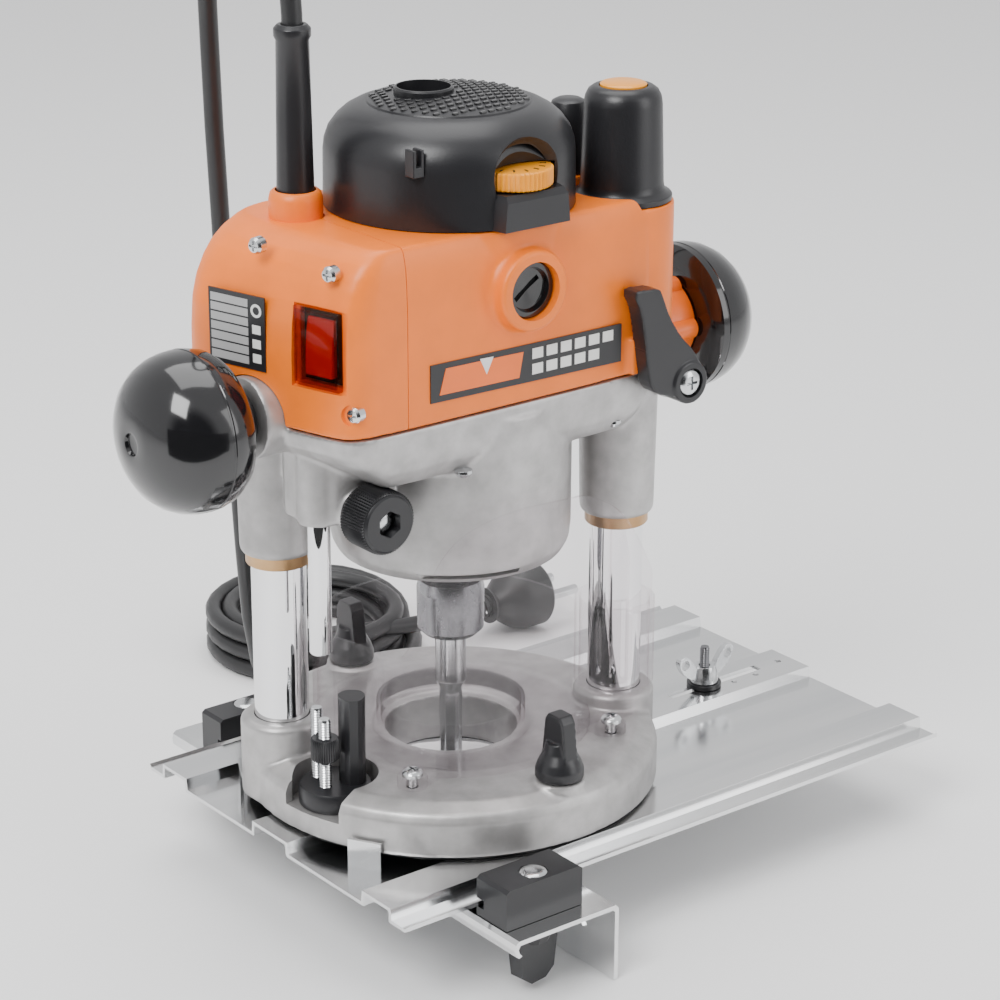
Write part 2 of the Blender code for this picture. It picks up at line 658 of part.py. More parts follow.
def top_cap():
    body = turned(
        "top_cap",
        [
            (45.2, CAP_Z), (48.9, CAP_Z), (48.6, 262), (47.2, 268.5), (43.6, 274.2), (37.5, 278.6), (28, 281.4),
            (14, 283.2), (0, 283.8), (0, 280.8), (26, 278.4), (36, 275.4), (42, 270), (44.8, 262),
        ],
        steps=44,
    )
    chimney = turned("cap_chimney", [(0, 271), (11.6, 271), (11.6, 285.6), (0, 285.6)], (-7.5, 6.0, 0), steps=24)
    backing = loft(
        "pocket_backing",
        [
            (242, [(-19, -42.6), (22, -42.6), (20, -24), (-17, -24)]),
            (262, [(-19, -42.6), (22, -42.6), (20, -24), (-17, -24)]),
            (275, [(-14, -36), (17, -36), (15, -24), (-12, -24)]),
        ],
    )
    pod = loft(
        "dial_pod",
        [
            (CAP_Z, [(-14, -53), (17, -53), (19, -40), (-16, -40)]),
            (252, [(-13, -53), (16, -53), (18, -40), (-15, -40)]),
            (254.4, [(-12, -51), (15, -51), (18, -40), (-15, -40)]),
        ],
    )
    add(body, chimney, backing)
    pocket = turned("dial_pocket", [(0, -22), (12, -19), (17.6, -12), (20, 0), (17.6, 12), (12, 19), (0, 22)],
                    (1.5, -60.4, 260), axis="Y", steps=24)
    cut(body, pocket)
    add(body, pod)
    cuts = [
        rod("chimney_bore", 10.4, 262, 300, (-7.5, 6.0, 0), steps=24),
        rod("dial_room", 16.2, 254.2, 262.8, (1.5, -37.5, 0), steps=24),
        rod("dial_axle_room", 2.7, 246, 256, (1.5, -37.5, 0), steps=12),
    ]
    return cut(body, *cuts)


def speed_dial():
    profile = [(0, 248), (2.2, 248), (2.2, 254.6), (15.4, 254.6), (15.4, 261.6), (14.4, 262.2), (0, 262.2)]
    turned("speed_dial", profile, (1.5, -37.5, 0), steps=32)


def brush_parts():
    for side, sign in (("front", -1), ("rear", 1)):
        face = sign * 50.6
        profile = [(0, sign * 44), (11.1, sign * 44), (11.1, face), (8.6, face), (8.0, sign * 48.6), (0, sign * 48.6)]
        turned(f"{side}_brush_cap", profile, (0, 0, 216.4), axis="Y", steps=22)
        low, high = sorted((sign * 16.0, sign * 34.0))
        box(f"{side}_carbon_brush", (-3.2, 3.2), (low, high), (212, 220))


def cord_boot():
    body = turned(
        "cord_boot",
        [(0, 226), (7.3, 226), (7.2, 252), (6.3, 308), (7.2, 309.5), (7.2, 312.4), (5.6, 314), (0, 314)],
        (*BOOT, 0),
        steps=20,
    )
    bore = rod("boot_bore", 4.25, 200, 340, (*BOOT, 0), steps=16)
    return cut(body, bore)


def adjuster():
    centre = (*COLUMN, 0)
    turned(
        "adjuster_cap",
        [(0, 236.0), (19.9, 236.0), (19.9, 238.4), (17.2, 240.0), (16.6, 241), (15.5, 274), (13.8, 279), (10.6, 281.0),
         (9.6, 281.0), (9.6, 280.0), (0, 280.0)],
        centre,
        steps=28,
    )
    turned("adjuster_disc", [(0, 280.2), (9.2, 280.2), (9.2, 281.6), (8.4, 282.2), (0, 282.4)], centre, steps=20)


def rear_clamp():
    body = loft(
        "rear_clamp",
        [
            (CAP_Z - 0.1, circle((66, 8), 8.6, 18)),
            (266, circle((66, 8), 8.2, 18)),
            (270.5, circle((66, 8), 5.6, 18)),
        ],
    )
    return body


def side_knob(name, sign):
    """A round grip with a flat face towards the machine, on its own stud."""
    profile = [
        (0, 86.0), (4.8, 86.0), (4.8, 98.0), (11.5, 98.6), (13.5, 104), (22, 106.4), (29, 112), (31.0, 119),
        (31.0, 123), (29.8, 130), (26.2, 137), (19.5, 142.6), (10, 146.0), (4.4, 146.8), (3.6, 145.6), (0, 145.6),
    ]
    return turned(name, [(r, sign * a) for r, a in profile], (0, 0, HANDLE_Z), axis="X", steps=28)


def right_knob():
    profile = [
        (0, 86.0), (4.8, 86.0), (4.8, 110), (20, 110.6), (29, 113.5), (31.0, 119),
        (31.0, 123), (29.8, 130), (26.2, 137), (19.5, 142.6), (10, 146.0), (4.4, 146.8), (3.6, 145.6), (0, 145.6),
    ]
    return turned("right_knob", profile, (0, 0, HANDLE_Z), axis="X", steps=28)


def clutch_ring():
    ring = pipe("clutch_ring", 17.0, 5.4, 97.6, 109.4, (0, 0, HANDLE_Z), axis="X", steps=24)
    lobes = []
    for number in range(5):
        angle = math.radians(36 + 72 * number)
        centre = (0, 15.5 * math.cos(angle), HANDLE_Z + 15.5 * math.sin(angle))
        lobes.append(rod(f"clutch_lobe_{number}", 4.4, 98.2, 108.8, centre, axis="X", steps=8))
    return add(ring, *lobes)


LEVER = (77.0, -47.9, 165.6)


def lock_lever():
    x, y, z = LEVER
    hub = rod("lock_lever", 8.6, -9.0, 1.2, (x, y, z), axis="Y", steps=24)
    outline = [(-6.6, -5), (6.4, 5.6), (2.0, 13), (-5.0, 20), (-11.0, 29), (-15.0, 38.6), (-16.6, 41.6), (-28.4, 42.6)]
    outline += [(-29.2, 40), (-26.0, 34), (-24.0, 24), (-22.4, 12), (-20.4, 2.4), (-17.0, -1.6)]
    arm = prism("lever_arm", [(x + u, z + v) for u, v in outline], y - 8.0, y + 0.2, axis="Y")
    add(hub, arm)
    return cut(
        hub,
        rod("lever_bore", 3.3, -20, 10, (x, y, z), axis="Y", steps=14),
        rod("lever_sink", 6.0, -20, -6.4, (x, y, z), axis="Y", steps=20),
    )


def lever_screw():
    x, y, z = LEVER
    profile = [(0, 12.0), (2.8, 12.0), (2.8, -6.8), (5.4, -6.8), (5.4, -8.2), (4.2, -9.2), (0, -9.4)]
    return turned("lever_screw", profile, (x, y, z), axis="Y", steps=20)


def lever_boss():
    """The pad of the casting that carries the lever's screw."""
    x, y, z = LEVER
    pad = rod("lever_boss", 9.0, 1.7, 22.0, (x, y, z), axis="Y", steps=24)
    return cut(pad, box("lever_boss_top", (x - 20, x + 20), (y - 10, y + 40), (JOINT_Z - 0.9, 200)))


def depth_parts():
    profile = [(0, 73.4), (4.0, 73.4), (4.5, 74.2), (4.5, 148), (4.0, 149), (0, 149)]
    turned("depth_rod", profile, (*ROD, 0), steps=20)
    knob = turned(
        "depth_knob",
        [(0, -17.6), (3.0, -17.6), (3.0, -26.4), (11.6, -26.4), (12.6, -27.6), (12.6, -41.4), (11.2, -43), (0, -43)],
        (-61, 0, 133.5),
        axis="Y",
        steps=36,
    )
    socket = rod("knob_socket", 5.4, -50, -37.5, (-61, 0, 133.5), axis="Y", steps=6)
    cut(knob, socket)
    turn_about(knob, (-61, -17.6, 133.5), "Z", 0)


# ---------------------------------------------------------------- head: motor


def motor():
    pipe("motor_field", 42.6, 27.0, 124, 182, steps=28)
    armature = turned(
        "armature",
        [
            (0, 100), (7.5, 100), (7.5, 128), (26, 128), (26, 178), (13, 180), (13, 203), (15.2, 204), (15.2, 226),
            (6.0, 227), (6.0, 240), (0, 240),
        ],
        steps=22,
    )
    pipe("lower_bearing", 17.4, 7.8, 104.3, 115.0, steps=24)
    pipe("upper_bearing", 12.5, 6.3, 229.0, 237.0, steps=24)
    return armature


def collet_nut():
    body = turned(
        "collet_nut",
        [(6.6, 60.4), (11.0, 60.4), (13.6, 63), (13.8, 80), (13.0, 84), (10, 86), (10, 99.6), (6.6, 99.6)],
        steps=28,
    )
    return body


def cutter():
    body = turned(
        "cutter",
        [(0, 2.2), (4.6, 2.2), (4.7, 36), (6.2, 38.6), (6.3, 40), (6.3, 97), (0, 97)],
        steps=24,
    )
    flute_a = box("flute_a", (1.0, 8), (0.6, 8), (0, 33))
    flute_b = box("flute_b", (-8, -1.0), (-8, -0.6), (0, 33))
    return cut(body, flute_a, flute_b)


# ---------------------------------------------------------------- cord and plug


CORD_R = 4.0
CORD_ROUTE = (
    (-59.8, 17.3, 258), (-59.8, 17.3, 288), (-59.8, 17.3, 317), (-60.4, 18.2, 336), (-60.8, 22, 357), (-60, 31, 378),
    (-57, 47, 396), (-51, 67, 404), (-43, 89, 399), (-35, 109, 382), (-28, 124, 355), (-23, 133, 322),
    (-19, 138, 285), (-16, 141, 245), (-13, 143, 205), (-10, 145, 165), (-7, 147, 125), (-4, 149, 85),
    (0, 152, 48), (5, 156, 14), (12, 160.5, -12), (23, 165.5, -30), (37, 168.5, -39), (52, 170, -40.4),
    (64, 170.8, -40.4), (76, 171, -40.4),
)
COIL = (84.0, 226.0)
COIL_R = 42.0


def cord():
    curve = bpy.data.curves.new("cord", "CURVE")
    curve.dimensions = "3D"
    curve.bevel_depth = CORD_R * MM
    curve.bevel_resolution = 2
    curve.use_fill_caps = True
    spline = curve.splines.new("POLY")
    route = CORD_ROUTE
    spline.points.add(len(route) - 1)
    for index, (x, y, z) in enumerate(route):
        spline.points[index].co = (x * MM, y * MM, (z + BASE_Z) * MM, 1)
    obj = bpy.data.objects.new("cord", curve)
    bpy.context.scene.collection.objects.link(obj)
    return obj


def cord_coil():
    profile = []
    for step in range(8):
        angle = 2 * math.pi * step / 8
        profile.append((COIL_R + 8.0 * math.cos(angle), FLOOR + 12.2 + 12.0 * math.sin(angle)))
    return turned("cord_coil", profile, (*COIL, 0), steps=26)


def plug():
    z = FLOOR + 17.0
    body = turned(
        "plug",
        [(0, 0), (5.2, 0), (6.2, 10), (12, 16), (16.6, 26), (16.6, 40), (0, 40)],
        (150, 180, z),
        axis="X",
        steps=24,
    )
    pins = []
    for number, y in enumerate((-9.5, 9.5)):
        pins.append(rod(f"plug_pin_{number}", 2.4, 38, 58, (150, 180 + y, z), axis="X", steps=12))
    return add(body, *pins)


def main():
    clear_scene()
    base_casting()
    sole_plate()
    columns()
    springs()
    chip_shield()
    shield_screws()
    base_knob("base_knob_front", (-1.5, -72.5), 90)
    base_knob("base_knob_rear", (1.5, 72.5), 90)
    depth_turret()
    turret_screws()
    guide_plate()
    pivot()
    fence_rail()
    front = fence_block("fence_block_front", -110.0, -91.6, (-96.0, -80), -1)
    rear = fence_block("fence_block_rear", 85.8, 100.2, (70, 88.2), 1)
    fence_knob("fence_knob_front", front, 8)
    fence_knob("fence_knob_rear", rear, 8)
    motor_casting()
    bushes()
    motor_housing()
    switch_side_cover()
    switch()
    top_cap()
    speed_dial()
    brush_parts()
    cord_boot()
    adjuster()
    rear_clamp()
    side_knob("left_knob", -1)
    right_knob()
    clutch_ring()
    lock_lever()
    lever_screw()
    depth_parts()
    motor()
    collet_nut()
    cutter()
    cord()
    cord_coil()
    plug()


main()
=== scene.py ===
"""Visual model of the plunge router on its guide base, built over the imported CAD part.

Frame: metres, +Z up, spindle axis at x = y = 0, z = 0 at the underside of the guide plate.
Sizes are in millimetres, with heights from the underside of the base casting.
"""

import math

import bmesh
import bpy
from mathutils import Matrix, Vector

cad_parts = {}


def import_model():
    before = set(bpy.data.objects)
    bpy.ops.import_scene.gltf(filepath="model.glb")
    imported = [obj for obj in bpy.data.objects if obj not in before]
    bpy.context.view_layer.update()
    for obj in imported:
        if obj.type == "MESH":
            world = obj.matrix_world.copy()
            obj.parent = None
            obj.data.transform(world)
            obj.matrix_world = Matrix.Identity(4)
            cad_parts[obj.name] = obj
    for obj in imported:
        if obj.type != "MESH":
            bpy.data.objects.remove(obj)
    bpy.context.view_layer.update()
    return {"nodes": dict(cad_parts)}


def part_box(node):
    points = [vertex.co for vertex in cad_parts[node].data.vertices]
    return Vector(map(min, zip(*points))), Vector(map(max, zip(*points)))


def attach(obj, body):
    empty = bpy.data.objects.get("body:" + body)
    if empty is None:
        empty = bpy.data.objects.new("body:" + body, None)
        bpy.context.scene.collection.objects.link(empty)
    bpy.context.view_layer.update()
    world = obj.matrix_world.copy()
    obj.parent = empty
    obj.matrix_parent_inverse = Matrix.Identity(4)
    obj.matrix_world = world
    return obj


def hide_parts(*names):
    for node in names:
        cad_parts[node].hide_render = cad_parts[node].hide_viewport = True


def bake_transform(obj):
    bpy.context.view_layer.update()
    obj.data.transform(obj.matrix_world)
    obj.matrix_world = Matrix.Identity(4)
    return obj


MM = 0.001
BASE_Z = 7.6
COLUMN = (67.6, -23.4)
HANDLE_Z = 171.9
JOINT_Z = 171.0
CAP_Z = 241.0
TURRET = (-67.0, -12.5)
ROD = (-72.0, -11.4)
LEVER = (77.0, -47.9, 165.6)
BOOT = (-59.8, 17.3)
FLOOR = -44.6
FENCE_SCREW_X = -38.5
PIVOT = (139.0, -1.5)
COIL = (84.0, 226.0)

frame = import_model()


# ---------------------------------------------------------------- camera and cord


def camera():
    """Looks down a little from the front left, through a long lens."""
    back = Vector((-0.58004, -0.73617, 0.34872)).normalized()
    right = Vector((0, 0, 1)).cross(back).normalized()
    up = back.cross(right)
    turn = Matrix((right, up, back)).transposed().to_4x4()
    data = bpy.data.cameras.new("camera")
    data.lens = 108
    data.sensor_width = 36
    data.clip_end = 20
    obj = bpy.data.objects.new("camera", data)
    place = Matrix.Translation((-0.6818, -0.8976, 0.5440))
    obj.matrix_world = place @ turn @ Matrix.Rotation(math.radians(0.17), 4, "Z")
    bpy.context.scene.collection.objects.link(obj)
    bpy.context.scene.camera = obj


CORD_R = 4.0
CORD_ROUTE = (
    (-59.8, 17.3, 258), (-59.8, 17.3, 288), (-59.8, 17.3, 317), (-60.4, 18.2, 336), (-60.8, 22, 357),
    (-60, 31, 378),
    (-57, 47, 396), (-51, 67, 404), (-43, 89, 399), (-35, 109, 382), (-28, 124, 355), (-23, 133, 322),
    (-19, 138, 285), (-16, 141, 245), (-13, 143, 205), (-10, 145, 165), (-7, 147, 125), (-4, 149, 85),
    (0, 152, 48), (5, 156, 14), (12, 160.5, -12), (23, 165.5, -30), (37, 168.5, -39), (52, 170, -40.4),
    (64, 170.8, -40.4), (76, 171, -40.4),
)


def cord_line():
    """The whole centreline: the free run, six turns of the coil, then the lead to the plug."""
    line = list(CORD_ROUTE)
    cx, cy = COIL
    inner, outer = 38.0, 46.0
    turns = ((outer, -40.4), (inner, -40.4), (inner, -32.2), (outer, -32.2), (outer, -24.0), (inner, -24.0))
    steps = 30
    first_angle = -98.0
    for index, (radius, height) in enumerate(turns):
        last_radius, last_height = (55.6, -40.4) if index == 0 else turns[index - 1]
        for step in range(1, steps + 1):
            share = min(1.0, step / 12)
            ease = share * share * (3 - 2 * share)
            angle = math.radians(first_angle + 360 * (index + step / steps))
            reach = last_radius + (radius - last_radius) * ease
            level = last_height + (height - last_height) * ease
            line.append((cx + reach * math.cos(angle), cy + reach * math.sin(angle), level))
    line += [(84, 186.6, -24.4), (96, 184.4, -25.4), (110, 182, -26.6), (124, 180.6, -27.4),
        (138, 180, -27.6), (152, 180, -27.6)]
    return line


def cord_curve():
    line = cord_line()
    curve = bpy.data.curves.new("cord_sheath", "CURVE")
    curve.dimensions = "3D"
    curve.bevel_depth = CORD_R * MM
    curve.bevel_resolution = 4
    curve.use_fill_caps = True
    spline = curve.splines.new("POLY")
    spline.points.add(len(line) - 1)
    for point, (x, y, z) in zip(spline.points, line):
        point.co = (x * MM, y * MM, (z + BASE_Z) * MM, 1)
    spline.use_smooth = True
    guide = bpy.data.objects.new("cord_guide", curve)
    bpy.context.scene.collection.objects.link(guide)
    mesh = bpy.data.meshes.new_from_object(guide.evaluated_get(bpy.context.evaluated_depsgraph_get()))
    bpy.data.objects.remove(guide, do_unlink=True)
    obj = bpy.data.objects.new("cord_sheath", mesh)
    bpy.context.scene.collection.objects.link(obj)
    path = [(x * MM, y * MM, (z + BASE_Z) * MM) for x, y, z in line]
    length = sum((Vector(b) - Vector(a)).length for a, b in zip(path, path[1:]))
    return obj, path, length


# ---------------------------------------------------------------- materials


def shader(name, base, rough=0.4, metallic=0.0, coat=0.0):
    material = bpy.data.materials.new(name)
    material.use_nodes = True
    tree = material.node_tree
    bsdf = tree.nodes["Principled BSDF"]
    bsdf.inputs["Base Color"].default_value = (*base, 1)
    bsdf.inputs["Roughness"].default_value = rough
    bsdf.inputs["Metallic"].default_value = metallic
    bsdf.inputs["Coat Weight"].default_value = coat
    return material, tree, bsdf


def noise(tree, scale, detail=4.0, stretch=(1, 1, 1)):
    place = tree.nodes.new("ShaderNodeTexCoord")
    mapping = tree.nodes.new("ShaderNodeMapping")
    mapping.inputs["Scale"].default_value = stretch
    texture = tree.nodes.new("ShaderNodeTexNoise")
    texture.inputs["Scale"].default_value = scale
    texture.inputs["Detail"].default_value = detail
    tree.links.new(place.outputs["Object"], mapping.inputs["Vector"])
    tree.links.new(mapping.outputs["Vector"], texture.inputs["Vector"])
    return texture


def grain(tree, bsdf, scale, strength, depth, stretch=(1, 1, 1)):
    texture = noise(tree, scale, 3.0, stretch)
    bump = tree.nodes.new("ShaderNodeBump")
    bump.inputs["Strength"].default_value = strength
    bump.inputs["Distance"].default_value = depth
    tree.links.new(texture.outputs["Fac"], bump.inputs["Height"])
    tree.links.new(bump.outputs["Normal"], bsdf.inputs["Normal"])


def vary(tree, bsdf, low, high, scale, stretch=(1, 1, 1)):
    """Lets the base colour wander between two tones."""
    texture = noise(tree, scale, 5.0, stretch)
    ramp = tree.nodes.new("ShaderNodeValToRGB")
    ramp.color_ramp.elements[0].position = 0.3
    ramp.color_ramp.elements[0].color = (*low, 1)
    ramp.color_ramp.elements[1].position = 0.7
    ramp.color_ramp.elements[1].color = (*high, 1)
    tree.links.new(texture.outputs["Fac"], ramp.inputs["Fac"])
    tree.links.new(ramp.outputs["Color"], bsdf.inputs["Base Color"])


def vary_gloss(tree, bsdf, low, high, scale, stretch=(1, 1, 1)):
    texture = noise(tree, scale, 4.0, stretch)
    spread = tree.nodes.new("ShaderNodeMapRange")
    spread.inputs["To Min"].default_value = low
    spread.inputs["To Max"].default_value = high
    tree.links.new(texture.outputs["Fac"], spread.inputs["Value"])
    tree.links.new(spread.outputs["Result"], bsdf.inputs["Roughness"])


def plastic(name, base, rough, depth=0.00006, scale=2200, coat=0.0):
    material, tree, bsdf = shader(name, base, rough, 0.0, coat)
    darker = tuple(0.9 * c for c in base)
    vary(tree, bsdf, darker, base, 60)
    grain(tree, bsdf, scale, 0.35, depth)
    return material


def metal(name, low, high, rough, metallic=1.0, stretch=(1, 1, 1), scale=300, depth=0.00002):
    material, tree, bsdf = shader(name, high, rough, metallic)
    vary(tree, bsdf, low, high, scale / 6, stretch)
    vary_gloss(tree, bsdf, rough * 0.8, rough * 1.25, scale, stretch)
    grain(tree, bsdf, scale * 4, 0.3, depth, stretch)
    return material


def clear_plastic(name, tint, edge, weight):
    """Thin clear moulding: it passes light straight through and shines more at a glancing angle."""
    material = bpy.data.materials.new(name)
    material.use_nodes = True
    tree = material.node_tree
    tree.nodes.clear()
    out = tree.nodes.new("ShaderNodeOutputMaterial")
    through = tree.nodes.new("ShaderNodeBsdfTransparent")
    gloss = tree.nodes.new("ShaderNodeBsdfGlossy")
    gloss.inputs["Roughness"].default_value = 0.04
    facing = tree.nodes.new("ShaderNodeLayerWeight")
    facing.inputs["Blend"].default_value = weight
    ramp = tree.nodes.new("ShaderNodeValToRGB")
    ramp.color_ramp.elements[0].color = (*tint, 1)
    ramp.color_ramp.elements[1].color = (*edge, 1)
    ramp.color_ramp.elements[0].position = 0.45
    mix = tree.nodes.new("ShaderNodeMixShader")
    tree.links.new(facing.outputs["Facing"], ramp.inputs["Fac"])
    tree.links.new(ramp.outputs["Color"], through.inputs["Color"])
    shine = tree.nodes.new("ShaderNodeMapRange")
    shine.inputs["From Min"].default_value = 0.3
    shine.inputs["To Min"].default_value = 0.02
    shine.inputs["To Max"].default_value = 0.4
    tree.links.new(facing.outputs["Facing"], shine.inputs["Value"])
    tree.links.new(shine.outputs["Result"], mix.inputs["Fac"])
    tree.links.new(through.outputs["BSDF"], mix.inputs[1])
    tree.links.new(gloss.outputs["BSDF"], mix.inputs[2])
    tree.links.new(mix.outputs["Shader"], out.inputs["Surface"])
    return material


ORANGE = plastic("orange_shell_look", (0.94, 0.19, 0.004), 0.40, 0.00006, 1800)
BLACK = plastic("black_grained_look", (0.014, 0.014, 0.016), 0.34, 0.00009, 1500)
GLOSS = plastic("black_gloss_look", (0.008, 0.008, 0.009), 0.13, 0.00001, 500, 0.5)
SATIN = plastic("black_satin_look", (0.016, 0.016, 0.018), 0.32, 0.00003, 900)
DETAIL = plastic("orange_detail_look", (0.92, 0.16, 0.004), 0.3, 0.00002, 900, 0.2)
AMBER = plastic("amber_look", (0.92, 0.34, 0.006), 0.32, 0.00002, 900, 0.2)
RED = plastic("red_rocker_look", (0.62, 0.012, 0.02), 0.2, 0.00001, 500, 0.6)
WHITE = plastic("white_print_look", (0.8, 0.8, 0.78), 0.45, 0.00001, 500)
GREY = plastic("grey_print_look", (0.42, 0.42, 0.42), 0.4, 0.00001, 500)
RUBBER = plastic("cord_rubber_look", (0.02, 0.02, 0.021), 0.42, 0.00004, 1400)
FACING = plastic("facing_look", (0.02, 0.02, 0.02), 0.7, 0.0001, 1200)
CARBON = plastic("carbon_look", (0.04, 0.04, 0.04), 0.5)
CAST = metal("cast_aluminium_look", (0.40, 0.39, 0.385), (0.52, 0.51, 0.505), 0.42, 0.72, scale=700,
    depth=0.00009)
CHROME = metal("chrome_look", (0.86, 0.86, 0.87), (0.92, 0.92, 0.93), 0.035, 1.0, scale=120, depth=0.000002)
STEEL = metal("zinc_steel_look", (0.62, 0.63, 0.64), (0.76, 0.77, 0.78), 0.2, 1.0, scale=400)
SHEET = metal("zinc_sheet_look", (0.70, 0.71, 0.72), (0.84, 0.84, 0.84), 0.15, 1.0, (0.25, 3, 1), 90,
    0.000012)
DARK_STEEL = metal("dark_steel_look", (0.16, 0.16, 0.17), (0.28, 0.28, 0.29), 0.25, 1.0, scale=500)
BRONZE = metal("bronze_look", (0.42, 0.24, 0.11), (0.60, 0.38, 0.19), 0.35, 1.0, scale=500)
CORE = metal("motor_core_look", (0.10, 0.07, 0.05), (0.26, 0.2, 0.16), 0.45, 0.8, (1, 1, 8), 300)
CLEAR = clear_plastic("clear_guard_look", (0.975, 0.965, 0.97), (0.84, 0.74, 0.77), 0.28)
SMOKED = clear_plastic("smoked_cover_look", (0.80, 0.58, 0.48), (0.5, 0.3, 0.22), 0.3)


# ---------------------------------------------------------------- shapes


def mesh_object(name, points, faces):
    mesh = bpy.data.meshes.new(name)
    mesh.from_pydata([(x * MM, y * MM, (z + BASE_Z) * MM) for x, y, z in points], [], faces)
    shape = bmesh.new()
    shape.from_mesh(mesh)
    bmesh.ops.recalc_face_normals(shape, faces=shape.faces)
    shape.to_mesh(mesh)
    shape.free()
    obj = bpy.data.objects.new(name, mesh)
    bpy.context.scene.collection.objects.link(obj)
    return obj


def turn_point(axis, centre, radius, angle, along):
    across = radius * math.cos(angle)
    up = radius * math.sin(angle)
    cx, cy, cz = centre
    if axis == "Z":
        return (cx + across, cy + up, cz + along)
    if axis == "X":
        return (cx + along, cy + across, cz + up)
    return (cx + up, cy + along, cz + across)


def turned(name, profile, centre=(0, 0, 0), axis="Z", steps=64, ripple=0.0):
    """Turns a closed outline of (radius, along) points about an axis; ripple makes flutes."""
    points = []
    rings = []
    for radius, along in profile:
        if radius < 1e-6:
            rings.append([len(points)])
            points.append(turn_point(axis, centre, 0, 0, along))
            continue
        ring = []
        for step in range(steps):
            ring.append(len(points))
            angle = 2 * math.pi * step / steps
            points.append(turn_point(axis, centre, radius * (1 - ripple * (step % 2)), angle, along))
        rings.append(ring)
    faces = []
    for index, low in enumerate(rings):
        high = rings[(index + 1) % len(rings)]
        if len(low) == 1 and len(high) == 1:
            continue
        for step in range(steps):
            after = (step + 1) % steps
            corners = [low[step % len(low)], low[after % len(low)], high[after % len(high)],
                high[step % len(high)]]
            face = list(dict.fromkeys(corners))
            if len(face) > 2:
                faces.append(face)
    return mesh_object(name, points, faces)


def rod(name, radius, low, high, centre=(0, 0, 0), axis="Z", steps=48):
    return turned(name, [(0, low), (radius, low), (radius, high), (0, high)], centre, axis, steps)


def pipe(name, outer, inner, low, high, centre=(0, 0, 0), axis="Z", steps=64):
    return turned(name, [(inner, low), (outer, low), (outer, high), (inner, high)], centre, axis, steps)


def loft(name, sections):
    count = len(sections[0][1])
    points = [(x, y, z) for z, outline in sections for x, y in outline]
    faces = [list(range(count))]
    for level in range(len(sections) - 1):
        first = level * count
        for side in range(count):
            after = (side + 1) % count
            faces.append([first + side, first + after, first + count + after, first + count + side])
    last = (len(sections) - 1) * count
    faces.append(list(range(last, last + count)))
    return mesh_object(name, points, faces)


def prism(name, outline, low, high, axis="Z"):
    place = {
        "Z": lambda u, v, w: (u, v, w),
        "Y": lambda u, v, w: (u, w, v),
        "X": lambda u, v, w: (w, u, v),
    }[axis]
    count = len(outline)
    points = [place(u, v, along) for along in (low, high) for u, v in outline]
    faces = [list(range(count)), list(range(count, 2 * count))]
    for side in range(count):
        after = (side + 1) % count
        faces.append([side, after, count + after, count + side])
    return mesh_object(name, points, faces)


def box(name, x, y, z):
    return prism(name, [(x[0], y[0]), (x[1], y[0]), (x[1], y[1]), (x[0], y[1])], z[0], z[1])


def bake(obj):
    """Keeps what the modifiers make as the object's own mesh."""
    graph = bpy.context.evaluated_depsgraph_get()
    mesh = bpy.data.meshes.new_from_object(obj.evaluated_get(graph))
    obj.modifiers.clear()
    obj.data = mesh
    return obj


def combine(obj, tools, operation):
    for tool in tools:
        modifier = obj.modifiers.new(tool.name, "BOOLEAN")
        modifier.operation = operation
        modifier.solver = "EXACT"
        modifier.object = tool
        bake(obj)
        bpy.data.objects.remove(tool, do_unlink=True)
    return obj


def add(obj, *tools):
    return combine(obj, tools, "UNION")


def cut(obj, *tools):
    return combine(obj, tools, "DIFFERENCE")


def join(name, pieces):
    """Several shapes as one object, each keeping its own faces."""
    shape = bmesh.new()
    for piece in pieces:
        shape.from_mesh(piece.data)
        bpy.data.objects.remove(piece, do_unlink=True)
    mesh = bpy.data.meshes.new(name)
    shape.to_mesh(mesh)
    shape.free()
    obj = bpy.data.objects.new(name, mesh)
    bpy.context.scene.collection.objects.link(obj)
    return obj


def turn_about(obj, pivot, axis, degrees):
    place = Vector((pivot[0] * MM, pivot[1] * MM, (pivot[2] + BASE_Z) * MM))
    turn = Matrix.Rotation(math.radians(degrees), 4, axis)
    obj.data.transform(Matrix.Translation(place) @ turn @ Matrix.Translation(-place))
    return obj


def melt(obj, voxel, passes):
    """Rounds a joined body over, as a casting or a moulding is."""
    remesh = obj.modifiers.new("melt", "REMESH")
    remesh.mode = "VOXEL"
    remesh.voxel_size = voxel * MM
    smooth = obj.modifiers.new("smooth", "SMOOTH")
    smooth.factor = 0.5
    smooth.iterations = passes
    return bake(obj)


def finish_piece(obj, material, body, nodes=(), bevel=0.4, angle=35):
    """Gives a piece its finish and rounded edges, and hands it to its body."""
    obj.data.materials.clear()
    obj.data.materials.append(material)
    if bevel:
        edge = obj.modifiers.new("edge", "BEVEL")
        edge.width = bevel * MM
        edge.segments = 2
        edge.limit_method = "ANGLE"
        edge.angle_limit = math.radians(angle)
        edge.harden_normals = True
    obj.data.shade_smooth()
    obj.data.set_sharp_from_angle(angle=math.radians(angle))
    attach(obj, body)
    if nodes:
        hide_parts(*nodes)
    return obj


def dress(node, material, bevel=0.0):
    """A CAD solid whose shape is right, with its own finish."""
    obj = frame["nodes"][node]
    obj.data.materials.clear()
    obj.data.materials.append(material)
    if bevel:
        edge = obj.modifiers.new("edge", "BEVEL")
        edge.width = bevel * MM
        edge.segments = 2
        edge.limit_method = "ANGLE"
        edge.angle_limit = math.radians(35)
    return obj


def rounded(outline, passes=2, share=0.22):
    """Cuts the corners of a closed outline again and again until it flows."""
    for _ in range(passes):
        flowing = []
        for index, (x, y) in enumerate(outline):
            nx, ny = outline[(index + 1) % len(outline)]
            flowing.append((x + (nx - x) * share, y + (ny - y) * share))
            flowing.append((nx - (nx - x) * share, ny - (ny - y) * share))
        outline = flowing
    return outline


